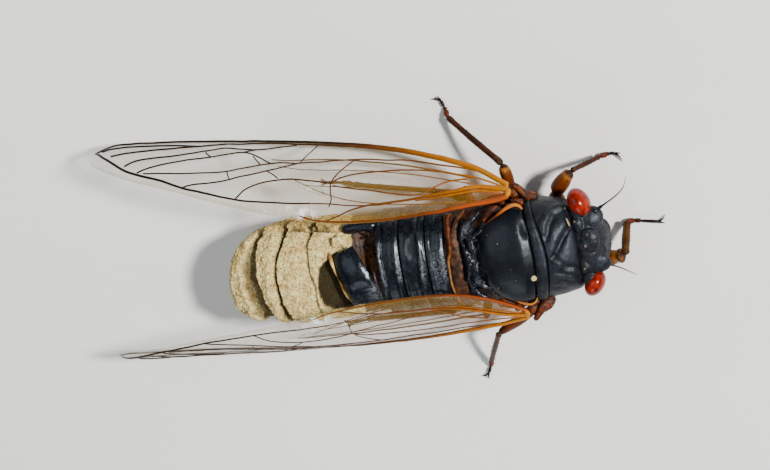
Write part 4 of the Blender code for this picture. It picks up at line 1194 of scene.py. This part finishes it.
def clypeusPlace(u, v):
    values = headSettings["clypeus"]
    turn, rise = math.tau * u, math.pi * (v - 0.5)
    direction = Vector((math.sin(rise), math.cos(rise) * math.cos(turn), math.cos(rise) * math.sin(turn)))
    side = abs(direction.y)
    ribs = math.cos(direction.z * values["ribs"] * 3.0 + side * 1.2) * rampUp(side, 0.14, 0.3)
    amount = 0.03 * ribs * rampUp(direction.x, -0.2, 0.2) * (1 - rampUp(direction.z, -0.05, 0.3))
    amount -= 0.05 * hump(direction.y - 0.02, 0.12) * rampUp(direction.x, 0.3, 0.6)
    shaped = Vector((direction[k] * values["radii"][k] for k in range(3))) * (1 + amount)
    place = Vector(values["centre"]) + shaped
    return place + direction * (0.012 * grain(place, 6.0))


finishPiece(gridShape(180, 150, clypeusPlace), "ribbedClypeus", headCuticle)


for word in ("left", "right"):
    values = eyeSettings[word]
    finishPiece(blob(values["centre"], values["radii"], (0.0, 0.0, values["tilt"]), 120, 80),
                "eye" + word.capitalize(), eyeRed, ["eye_" + word])
ocelli = [blob(centre, (headSettings["ocellusRadius"],) * 3) for centre in headSettings["ocelli"]]
finishPiece(joinShapes(ocelli), "ocelli", ocellusGlass)
marks = beadsOn(headTree, headSettings["marks"]) + beadsOn(pronotumTree, headSettings["marks"][:2])
marks.append(tube(*headSettings["strip"], 10, 16, 0.8))
finishPiece(joinShapes(marks), "neckMarks", tanBead)

antennaSettings = {
    "left": ((6.75, 2.45, 6.5), (7.5, 2.92, 6.5), (8.2, 3.32, 6.6), (9.1, 3.85, 6.65), (9.75, 4.45, 6.7),
             (10.15, 5.3, 6.9)),
    "right": ((6.75, -1.75, 6.2), (7.6, -2.0, 5.95), (8.3, -2.3, 5.85), (9.0, -2.75, 5.7), (9.55, -3.2, 5.4)),
    "radii": ((0.0, 0.26), (0.12, 0.25), (0.16, 0.15), (0.24, 0.15), (0.28, 0.085), (0.6, 0.055),
              (1.0, 0.02)),
}
for word in ("left", "right"):
    finishPiece(tube(antennaSettings[word], antennaSettings["radii"], 12, 90), "antenna" + word.capitalize(),
                blackCuticle, ["antenna_" + word])

rostrumSettings = {
    "path": ((6.2, 0, 3.3), (5.2, 0, 2.25), (3.6, 0, 1.45), (1.2, 0, 1.15), (-0.6, 0, 1.05)),
    "radii": ((0.0, 0.6), (0.2, 0.5), (0.33, 0.3), (0.36, 0.36), (0.6, 0.26), (0.64, 0.3), (0.9, 0.17),
              (1.0, 0.08)),
}
finishPiece(tube(rostrumSettings["path"], rostrumSettings["radii"], 20, 70), "rostrumSheath", shin,
            ["rostrum"])
print("head made")


# Underside of the thorax, with hip bulges and the two covers behind them

underSettings = {
    "front": ((5.3, 2.9, 3.4, 4.6, 2.5, 0.0, 2.6), (3.6, 3.4, 3.2, 4.9, 2.1, 0.6, 2.6),
              (2.0, 3.8, 3.2, 4.9, 1.9, 1.1, 2.6)),
    "rear": ((2.0, 3.9, 4.4, 6.2, 1.9, 1.1, 2.6), (-1.0, 4.2, 4.4, 6.4, 1.7, 0.4, 2.6),
             (-5.0, 4.25, 4.4, 6.2, 1.6, 0.0, 2.6)),
    "hips": ((3.3, 2.0, 2.4), (0.2, 2.3, 2.2), (-2.9, 2.3, 2.1)),
    "hipRadii": (1.0, 1.15, 0.75),
    "covers": ((-4.3, 2.3, 1.85), (1.3, 1.5, 0.4)),
    "voxel": 0.085,
    "grain": ((0.05, 1.4), (0.02, 6.0)),
}


def underRelief(point):
    keel = -0.12 * hump(point.y, 0.25) if point.z < 2.6 else 0.0
    lean = point.x - 0.3 * point.z
    pleura = -0.14 * (hump(lean + 1.9, 0.18) + hump(lean - 0.9, 0.18))
    return keel + pleura * rampUp(abs(point.y), 3.0, 3.6) + grains(point, underSettings["grain"])


underShapes = [loft(underSettings["front"], 60, 20), loft(underSettings["rear"], 60, 40),
               loft(thoraxSettings["core"], 60, 60)]
for side in (1, -1):
    for x, y, z in underSettings["hips"]:
        underShapes.append(blob((x, side * y, z), underSettings["hipRadii"], (0, 0, side * 20)))
    x, y, z = underSettings["covers"][0]
    underShapes.append(blob((x, side * y, z), underSettings["covers"][1], (0, side * 8, 0)))
finishPiece(pushOut(melt(underShapes, underSettings["voxel"], 3), underRelief), "thoraxSkin", darkFlesh,
            ["prothorax_underside", "thorax_underside"])
print("underside made")


# Wings: share of the length, then the leading edge's x, y, z and the roof angle

wingSettings = {
    "left": {"side": 1, "thick": 1.0,
             "edge": ((0.0, 0.5, 5.75, 6.9, 40.0), (0.1, -3.1, 7.25, 4.45, 52.0),
                      (0.28, -10.4, 9.15, 2.1, 58.0), (0.5, -18.6, 10.45, 1.3, 65.0),
                      (0.75, -28.3, 11.65, 1.5, 74.0), (0.86, -32.6, 12.15, 2.15, 75.0),
                      (0.93, -35.0, 12.35, 2.9, 76.0), (1.0, -36.6, 12.0, 4.4, 77.0))},
    "right": {"side": -1, "thick": 0.78,
              "edge": ((0.0, 0.45, 5.5, 6.8, 40.0), (0.1, -3.3, 6.5, 4.95, 40.5),
                       (0.28, -10.8, 7.75, 2.2, 52.0), (0.5, -19.3, 8.0, 1.3, 61.5),
                       (0.75, -29.2, 7.2, 1.5, 70.0), (0.92, -35.9, 6.5, 2.9, 75.0),
                       (1.0, -38.2, 6.0, 4.5, 76.0))},
    "root": 1.0,
    "width": 10.5,
    "widest": 0.46,
    "fall": 2.2,
    "round": 0.6,
    "film": 0.04,
    "spread": 0.92,  # rows crowd a little toward the tip
    # hind wings, folded under: share of the length they take, start and depth across, and how far inside
    "hind": {"first": 0.09, "last": 0.58, "start": 0.14, "band": 0.62, "inset": 1.05},
}

# Each vein: its places as share of the length and of the width, then its radii
foreVeins = {
    "costa": (((0, 0.03), (0.1, 0.025), (0.3, 0.02), (0.5, 0.012), (0.66, 0.012), (0.82, 0.015),
               (0.93, 0.02), (0.97, 0.05), (0.985, 0.15)), (0.2, 0.21, 0.17, 0.12, 0.1, 0.09, 0.085, 0.08)),
    "corner": (((0.004, 0.42), (0, 0.7), (0.006, 1)), (0.2, 0.24, 0.22)),
    "root": (((0, 0), (0.004, 0.2), (0.004, 0.42)), (0.22, 0.15, 0.16)),
    "radius": (((0.005, 0.06), (0.08, 0.06), (0.165, 0.06), (0.3, 0.055), (0.45, 0.06), (0.58, 0.07),
                (0.66, 0.11)), (0.13, 0.12, 0.1, 0.07, 0.06)),
    "sector": (((0.08, 0.103), (0.165, 0.186), (0.23, 0.197), (0.275, 0.239), (0.34, 0.27), (0.41, 0.332),
                (0.475, 0.394), (0.54, 0.441), (0.63, 0.622), (0.675, 0.684), (0.75, 0.775),
                (0.815, 0.845)), (0.07, 0.055, 0.06)),
    "media": (((0.01, 0.304), (0.06, 0.319), (0.11, 0.331), (0.155, 0.331), (0.22, 0.363), (0.285, 0.425),
               (0.335, 0.477), (0.375, 0.54), (0.395, 0.612)), (0.07, 0.06, 0.06)),
    "mediaFork": (((0.395, 0.612), (0.435, 0.602), (0.49, 0.611), (0.54, 0.678), (0.58, 0.783),
                   (0.6, 0.911)), (0.06, 0.06)),
    "suture": (((0, 0.5), (0.015, 0.477), (0.07, 0.566), (0.125, 0.682), (0.185, 0.756), (0.245, 0.798),
                (0.295, 0.82), (0.345, 0.872), (0.375, 0.934), (0.4, 0.985)),
                (0.21, 0.16, 0.1, 0.07, 0.05)),
    "sutureTwo": (((0.02, 0.631), (0.07, 0.68), (0.125, 0.744), (0.17, 0.787), (0.21, 0.803)),
                   (0.06, 0.1, 0.05)),
    "cubitus": (((0.1, 0.413), (0.14, 0.497), (0.17, 0.621), (0.2, 0.725), (0.245, 0.715), (0.295, 0.674),
                 (0.345, 0.654), (0.39, 0.633)), (0.07, 0.055, 0.055)),
    "cubitusTwo": (((0.25, 0.804), (0.295, 0.83), (0.345, 0.83), (0.39, 0.82), (0.435, 0.83)),
                    (0.05, 0.05)),
    "innerMargin": (((0, 0.98), (0.05, 0.985), (0.12, 0.985), (0.2, 0.985), (0.28, 0.985), (0.36, 0.985),
                     (0.42, 0.985), (0.46, 0.96)), (0.22, 0.17, 0.11, 0.085, 0.05)),
    "border": (((0.435, 0.83), (0.53, 0.885), (0.585, 0.914), (0.63, 0.924), (0.665, 0.924), (0.72, 0.929),
                (0.765, 0.907), (0.825, 0.88), (0.87, 0.838), (0.93, 0.671), (0.965, 0.444),
                (0.985, 0.174)), (0.06, 0.08, 0.1, 0.1)),
    "apexA": (((0.5, 0.083), (0.585, 0.223), (0.655, 0.219), (0.695, 0.315), (0.76, 0.483), (0.835, 0.622),
               (0.865, 0.783)), (0.055, 0.075)),
    "apexB": (((0.54, 0.441), (0.61, 0.293), (0.675, 0.436), (0.735, 0.555), (0.8, 0.725), (0.83, 0.85)),
               (0.055, 0.07)),
    "apexC": (((0.66, 0.109), (0.72, 0.196), (0.79, 0.316), (0.87, 0.465), (0.91, 0.614)), (0.07, 0.075)),
    "apexD": (((0.48, 0.399), (0.525, 0.505), (0.595, 0.659), (0.645, 0.77), (0.7, 0.866), (0.72, 0.929)),
               (0.055, 0.065)),
    "apexE": (((0.72, 0.196), (0.8, 0.191), (0.88, 0.241), (0.95, 0.395)), (0.07, 0.075)),
    "nodal": (((0.35, 0.28), (0.375, 0.436), (0.395, 0.612), (0.39, 0.778), (0.395, 0.851)), (0.05, 0.05)),
    "crossA": (((0.585, 0.223), (0.6, 0.263), (0.61, 0.293)), (0.055, 0.055)),
    "crossB": (((0.695, 0.315), (0.69, 0.375), (0.675, 0.436)), (0.06, 0.06)),
    "crossD": (((0.45, 0.062), (0.46, 0.208), (0.475, 0.394)), (0.05, 0.05)),
    "crossE": (((0.63, 0.622), (0.625, 0.673), (0.62, 0.72)), (0.05, 0.05)),
    "crossF": (((0.515, 0.619), (0.53, 0.576), (0.545, 0.549)), (0.05, 0.05)),
    "crossG": (((0.56, 0.48), (0.575, 0.407), (0.585, 0.35)), (0.05, 0.05)),
}
hindVeins = {
    "front": (((0.1, 0.02), (0.3, 0.02), (0.45, 0.04), (0.56, 0.3)), (0.09, 0.04)),
    "second": (((0.1, 0.3), (0.25, 0.26), (0.4, 0.34), (0.54, 0.6)), (0.05, 0.03)),
    "third": (((0.1, 0.6), (0.25, 0.62), (0.38, 0.72), (0.47, 0.9)), (0.05, 0.03)),
    "rear": (((0.1, 0.98), (0.25, 0.97), (0.4, 0.95), (0.5, 0.85)), (0.05, 0.03)),
}


def wingWidth(share):
    widest, root, full = wingSettings["widest"], wingSettings["root"], wingSettings["width"]
    if share < widest:
        return root + (full - root) * math.sin(math.pi / 2 * share / widest) ** 0.95
    t = (share - widest) / (1 - widest)
    return full * max(1 - t ** wingSettings["fall"], 0.0) ** wingSettings["round"]


def wingPlace(word, share, across, lift=0.0):
    side, edge = wingSettings[word]["side"], wingSettings[word]["edge"]
    x, y, z, angle = (smoothValue(edge, share, c) for c in range(1, 5))
    angle = math.radians(angle)
    width = wingWidth(share)
    slope = Vector((0.06, -side * math.cos(angle), math.sin(angle)))
    outward = Vector((0.0, side * math.sin(angle), math.cos(angle)))
    camber = 0.09 * width * math.sin(math.pi * min(max(across, 0.0), 1.0))
    wrinkle = 0.05 * noise.noise(Vector((share * 34.0, across * 5.0, side))) * min(width / 5, 1.0)
    return Vector((x, side * y, z)) + slope * (width * across) + outward * (camber + wrinkle + lift)


def hindPlace(word, share, across):
    hind = wingSettings["hind"]
    reach = (share - hind["first"]) / (hind["last"] - hind["first"])
    band = hind["band"] * math.sqrt(max(1 - max(reach, 0.0) ** 3, 0.02))
    return wingPlace(word, share, hind["start"] + band * across, -hind["inset"])


def filmShape(place, first, last, columns, rows):
    def shareAt(v):
        return first + (last - first) * v ** wingSettings["spread"]

    bm = gridShape(columns, rows, lambda u, v: place(shareAt(v), u), closed=False)
    for _, spot in corners(bm):
        spot.uv = (spot.uv.x, shareAt(spot.uv.y))
    bmesh.ops.remove_doubles(bm, verts=bm.verts, dist=weld)
    bmesh.ops.recalc_face_normals(bm, faces=bm.faces)
    bmesh.ops.solidify(bm, geom=bm.faces[:], thickness=wingSettings["film"])
    bmesh.ops.recalc_face_normals(bm, faces=bm.faces)
    return bm


veinTints = {"innerMargin": 1.0, "costa": -1.0}


def veinShape(place, side, track, radii, blush=0.0):
    length = max(abs(track[-1][0] - track[0][0]), 0.02)
    table = tuple((k, *spot) for k, spot in enumerate(track))
    steps = max(8, round(length * 90))
    ats = [k * (len(track) - 1) / steps for k in range(steps + 1)]
    spots = [(smoothValue(table, at, 1), smoothValue(table, at, 2)) for at in ats]
    bm = tube([place(*spot) for spot in spots], radii, 12, steps, 1.15, side=(0.0, side * 0.6, 0.8))
    reach, tint = (bm.verts.layers.float.new(word) for word in ("reach", "blush"))
    for vert in bm.verts:
        vert[tint] = blush
    for loop, spot in corners(bm):
        loop.vert[reach] = spots[min(max(round(spot.uv.y * steps), 0), steps)][0]
    return bm


hindSpan = (wingSettings["hind"]["first"], wingSettings["hind"]["last"])
for word in ("left", "right"):
    name = word.capitalize()
    forePlace = functools.partial(wingPlace, word)
    behindPlace = functools.partial(hindPlace, word)
    finishPiece(filmShape(forePlace, 0.0, 0.995, 60, 200), "forewing%sFilm" % name, wingMembrane,
                ["forewing_" + word])
    side, thick = wingSettings[word]["side"], wingSettings[word]["thick"]
    veins = []
    for key, (track, radii) in foreVeins.items():
        veins.append(veinShape(forePlace, side, track, [r * thick for r in radii], veinTints.get(key, 0.0)))
    finishPiece(joinShapes(veins), "forewing%sVeins" % name, wingVein)
    finishPiece(filmShape(behindPlace, *hindSpan, 36, 90), "hindwing%sFilm" % name, hindMembrane,
                ["hindwing_" + word])
    veins = [veinShape(behindPlace, side, *values) for values in hindVeins.values()]
    finishPiece(joinShapes(veins), "hindwing%sVeins" % name, wingVein)
print("wings made")

hingeSettings = {
    "tubes": ((((1.9, 4.2, 6.4), (1.65, 4.75, 6.7), (1.4, 5.2, 6.75), (0.8, 5.8, 6.8)),
               (0.3, 0.3, 0.26, 0.24)),
              (((1.5, 4.0, 6.9), (1.2, 4.25, 7.0), (0.5, 4.45, 7.05)), (0.24, 0.28, 0.2)),
              (((0.9, 4.4, 6.3), (0.7, 5.0, 6.3), (0.3, 5.4, 6.4)), (0.55, 0.5, 0.35)),
              (((-0.2, 4.2, 6.8), (-0.35, 4.6, 7.1), (-0.3, 4.9, 7.1)), (0.34, 0.3, 0.2)),
              (((1.0, 4.0, 5.9), (-0.5, 4.4, 5.8), (-2.4, 4.3, 5.5)), (0.5, 0.55, 0.4)),
              (((2.4, 4.15, 5.5), (1.6, 4.5, 5.8), (0.9, 4.7, 5.9)), (0.3, 0.42, 0.3)),
              (((-3.2, 3.9, 4.8), (-3.5, 4.9, 5.1), (-3.7, 5.7, 5.3)), (0.45, 0.4, 0.3))),
    "right": (((2.6, -4.1, 5.9), (1.9, -4.6, 6.2), (1.2, -5.2, 6.3)), (0.4, 0.62, 0.4)),
    "grain": 0.04,
    "voxel": 0.06,
}


def hingeRelief(point):
    return hingeSettings["grain"] * grain(point, 2.4)


hingeShapes = [tube(*hingeSettings["right"], 12, 24)]
for side in (1, -1):
    for path, radii in hingeSettings["tubes"]:
        hingeShapes.append(tube(mirrored(path, side), radii, 12, 24))
finishPiece(pushOut(melt(hingeShapes, hingeSettings["voxel"]), hingeRelief), "wingHinges", orangeFlesh)
print("wing hinges made")


# Legs: hip, thigh, knee, ankle and toe of each, with its thickness

hindThigh = ((0.0, 0.5), (0.1, 0.72), (0.4, 1.0), (0.7, 0.82), (0.88, 0.6), (1.0, 0.6))
legSettings = {
    "front_left": {"side": 1, "thick": 0.68, "shin": 0.21, "curl": 0.8, "skins": (legFront, shin),
                   "femur": ((0.0, 0.8), (0.15, 1.08), (0.5, 1.05), (0.8, 0.85), (0.93, 0.7), (1.0, 0.5)),
                   "joints": ((3.3, 2.2, 2.6), (3.35, 4.0, 3.3), (5.1, 5.68, 3.75), (7.0, 6.0, 0.75),
                              (8.15, 6.05, 0.25))},
    "front_right": {"side": -1, "thick": 0.72, "shin": 0.33, "curl": -0.4, "skins": (legFront, shinLight),
                    "femur": ((0.0, 0.5), (0.4, 0.72), (0.6, 0.96), (0.78, 0.86), (0.9, 1.0), (1.0, 0.5)),
                    "joints": ((3.3, 2.2, 2.6), (5.5, 2.4, 2.2), (8.35, 1.98, 3.15), (8.42, -0.26, 0.8),
                               (10.9, 0.15, 0.25))},
    "middle_left": {"side": 1, "thick": 0.56, "shin": 0.26, "curl": -0.8, "skins": (legFront, shin),
                    "femur": ((0.0, 0.6), (0.3, 0.85), (0.7, 1.0), (0.86, 0.85), (0.95, 0.62), (1.0, 0.5)),
                    "joints": ((0.2, 2.6, 2.2), (0.1, 5.0, 4.3), (-0.3, 7.1, 4.7), (-5.4, 10.9, 0.8),
                               (-5.85, 12.25, 0.25))},
    "middle_right": {"side": -1, "thick": 0.52, "shin": 0.23, "curl": 0.3, "skins": (legRear, shin),
                     "femur": ((0.0, 0.6), (0.15, 0.9), (0.5, 1.0), (0.8, 0.86), (0.93, 0.7), (1.0, 0.6)),
                     "joints": ((0.2, 2.6, 2.2), (1.0, 5.2, 3.9), (-3.1, 7.35, 4.2), (-5.15, 10.7, 0.8),
                                (-5.7, 11.9, 0.25))},
    "hind_left": {"side": 1, "thick": 0.42, "shin": 0.22, "curl": 0.0, "skins": (legRear, shinLight),
                  "femur": hindThigh,
                  "joints": ((-3.0, 2.2, 2.2), (-3.6, 3.9, 2.4), (-6.6, 5.2, 3.4), (-14.8, 6.1, 0.8),
                             (-17.1, 6.4, 0.25))},
    "hind_right": {"side": -1, "thick": 0.42, "shin": 0.22, "curl": 0.0, "skins": (legRear, shin),
                   "femur": hindThigh,
                   "joints": ((-3.0, 2.2, 2.2), (-3.6, 3.9, 2.4), (-6.7, 5.3, 3.3), (-14.8, 6.0, 0.8),
                              (-17.1, 6.3, 0.25))},
}


# Thickness along the hip, shin and each toe, and the spines of the front thighs: place and length
limbSettings = {
    "hip": ((0.0, 0.8), (0.5, 1.05), (0.85, 0.8), (1.0, 0.55)),
    "shin": ((0.0, 1.0), (0.05, 1.16), (0.14, 1.04), (0.5, 1.0), (0.85, 0.96), (0.95, 1.06), (1.0, 0.7)),
    "toe": ((0.0, 0.8), (0.3, 1.0), (0.8, 1.1), (1.0, 0.9)),
    "toes": (0.22, 0.18, 0.13),
    "thighSpines": ((0.35, 0.5), (0.62, 0.55), (0.8, 0.4)),
    "shinSpines": {"count": 10, "first": 0.3, "step": 0.068, "root": 0.16, "reach": 0.13, "lean": 0.22,
                   "radius": 0.045},
    "claws": {"radii": (0.1, 0.07, 0.02), "spread": 0.2, "curl": 0.35, "bend": 0.34, "reach": 0.62},
    "ball": 0.5,
    "rise": Vector((0.0, 0.0, 0.12)),  # how far thigh and shin arch
    "sole": 0.25,
}


def scaled(profile, size):
    return [(share, r * size) for share, r in profile]


def legRidges(share, turn):
    return 0.05 * math.cos(4 * turn) + 0.03 * math.sin(9 * share + 2 * turn)


def thighShapes(values, hip, thigh, knee, spiny):
    thick, rise = values["thick"], limbSettings["rise"]
    shapes = [tube([hip, hip.lerp(thigh, 0.5) - rise, thigh], scaled(limbSettings["hip"], thick), 22, 26),
              tube([thigh.lerp(hip, 0.05), thigh.lerp(knee, 0.5) + rise, knee],
                   scaled(values["femur"], thick), 26, 48, 0.86, legRidges)]
    for share, length in limbSettings["thighSpines"] if spiny else ():
        base = thigh.lerp(knee, share)
        shapes.append(spike(base, base + Vector((0.3, 0.0, -thick - length)), 0.2, 8))
    return shapes


def shinShapes(values, knee, ankle):
    size, rise = values["shin"], limbSettings["rise"]
    shapes = [tube([knee, knee.lerp(ankle, 0.5) + rise, ankle], scaled(limbSettings["shin"], size),
                   18, 50, 1.0, legRidges)]
    down = (ankle - knee).normalized()
    across = down.cross(Vector((0.0, 0.0, 1.0))).normalized()
    spines = limbSettings["shinSpines"]
    for k in range(spines["count"]):
        share = spines["first"] + spines["step"] * k
        side = across * (1 if k % 2 else -1)
        base = knee.lerp(ankle, share) + rise * (1 - abs(2 * share - 1))
        tip = base + side * (size + spines["reach"]) + down * spines["lean"]
        shapes.append(spike(base + side * spines["root"], tip, spines["radius"], 6))
    return shapes


def toeShapes(values, ankle, claw):
    flat = Vector((claw.x - ankle.x, claw.y - ankle.y, 0.0)).normalized()
    sole = limbSettings["sole"]
    ball = Vector((ankle.x, ankle.y, sole)) + flat * limbSettings["ball"]
    ends = [ankle, ball, ball.lerp(claw, 0.3), claw]
    for p in ends[1:]:
        p.z = sole
    shapes = []
    for k, r in enumerate(limbSettings["toes"]):
        a, b = ends[k], ends[k + 1]
        shapes.append(tube([a, a.lerp(b, 0.5), b], scaled(limbSettings["toe"], r), 14, 14))
        for _, spot in corners(shapes[-1]):
            spot.uv.y = (k + spot.uv.y) / 3.5
    turn = flat.cross(Vector((0.0, 0.0, 1.0)))
    claws, curl = limbSettings["claws"], values["curl"]
    for hand in (1, -1):
        aside = turn * (claws["spread"] * hand + claws["curl"] * curl)
        hook = [claw, claw + flat * claws["bend"] + aside * 0.7 + Vector((0, 0, 0.1)),
                claw + flat * (claws["reach"] - 0.2 * abs(curl)) + aside * 1.7 - Vector((0, 0, 0.15))]
        shapes.append(tube(hook, claws["radii"], 8, 12))
        for _, spot in corners(shapes[-1]):
            spot.uv.y = 1.0
    return shapes


for word, values in legSettings.items():
    hip, thigh, knee, ankle, claw = (Vector(p) for p in mirrored(values["joints"], values["side"]))
    name = "leg" + "".join(part.capitalize() for part in word.split("_"))
    upper, lower = values["skins"]
    finishPiece(joinShapes(thighShapes(values, hip, thigh, knee, word.startswith("front"))), name + "Femur",
                upper, ["leg_%s_femur" % word])
    finishPiece(joinShapes(shinShapes(values, knee, ankle)), name + "Tibia", lower,
                ["leg_%s_tibia" % word])
    finishPiece(joinShapes(toeShapes(values, ankle, claw)), name + "Tarsus", toe,
                ["leg_%s_tarsus" % word])
print("legs made")

# Cream specks on the back: the two largest by place, the rest strewn
speckSettings = {
    "placed": ((1.72, -1.86, 0.27), (1.75, 3.0, 0.12)),
    "strewn": 10,
    "radii": (0.015, 0.03),
}
specks = list(speckSettings["placed"])
for index in range(speckSettings["strewn"]):
    specks.append((rng.uniform(-2.4, 1.9), rng.uniform(-3.4, 3.2), rng.uniform(*speckSettings["radii"])))
finishPiece(joinShapes(beadsOn(mesonotumTree, specks, 0.0, 0.6, 12, 8)), "creamSpecks", plugChalk)
print("specks made")
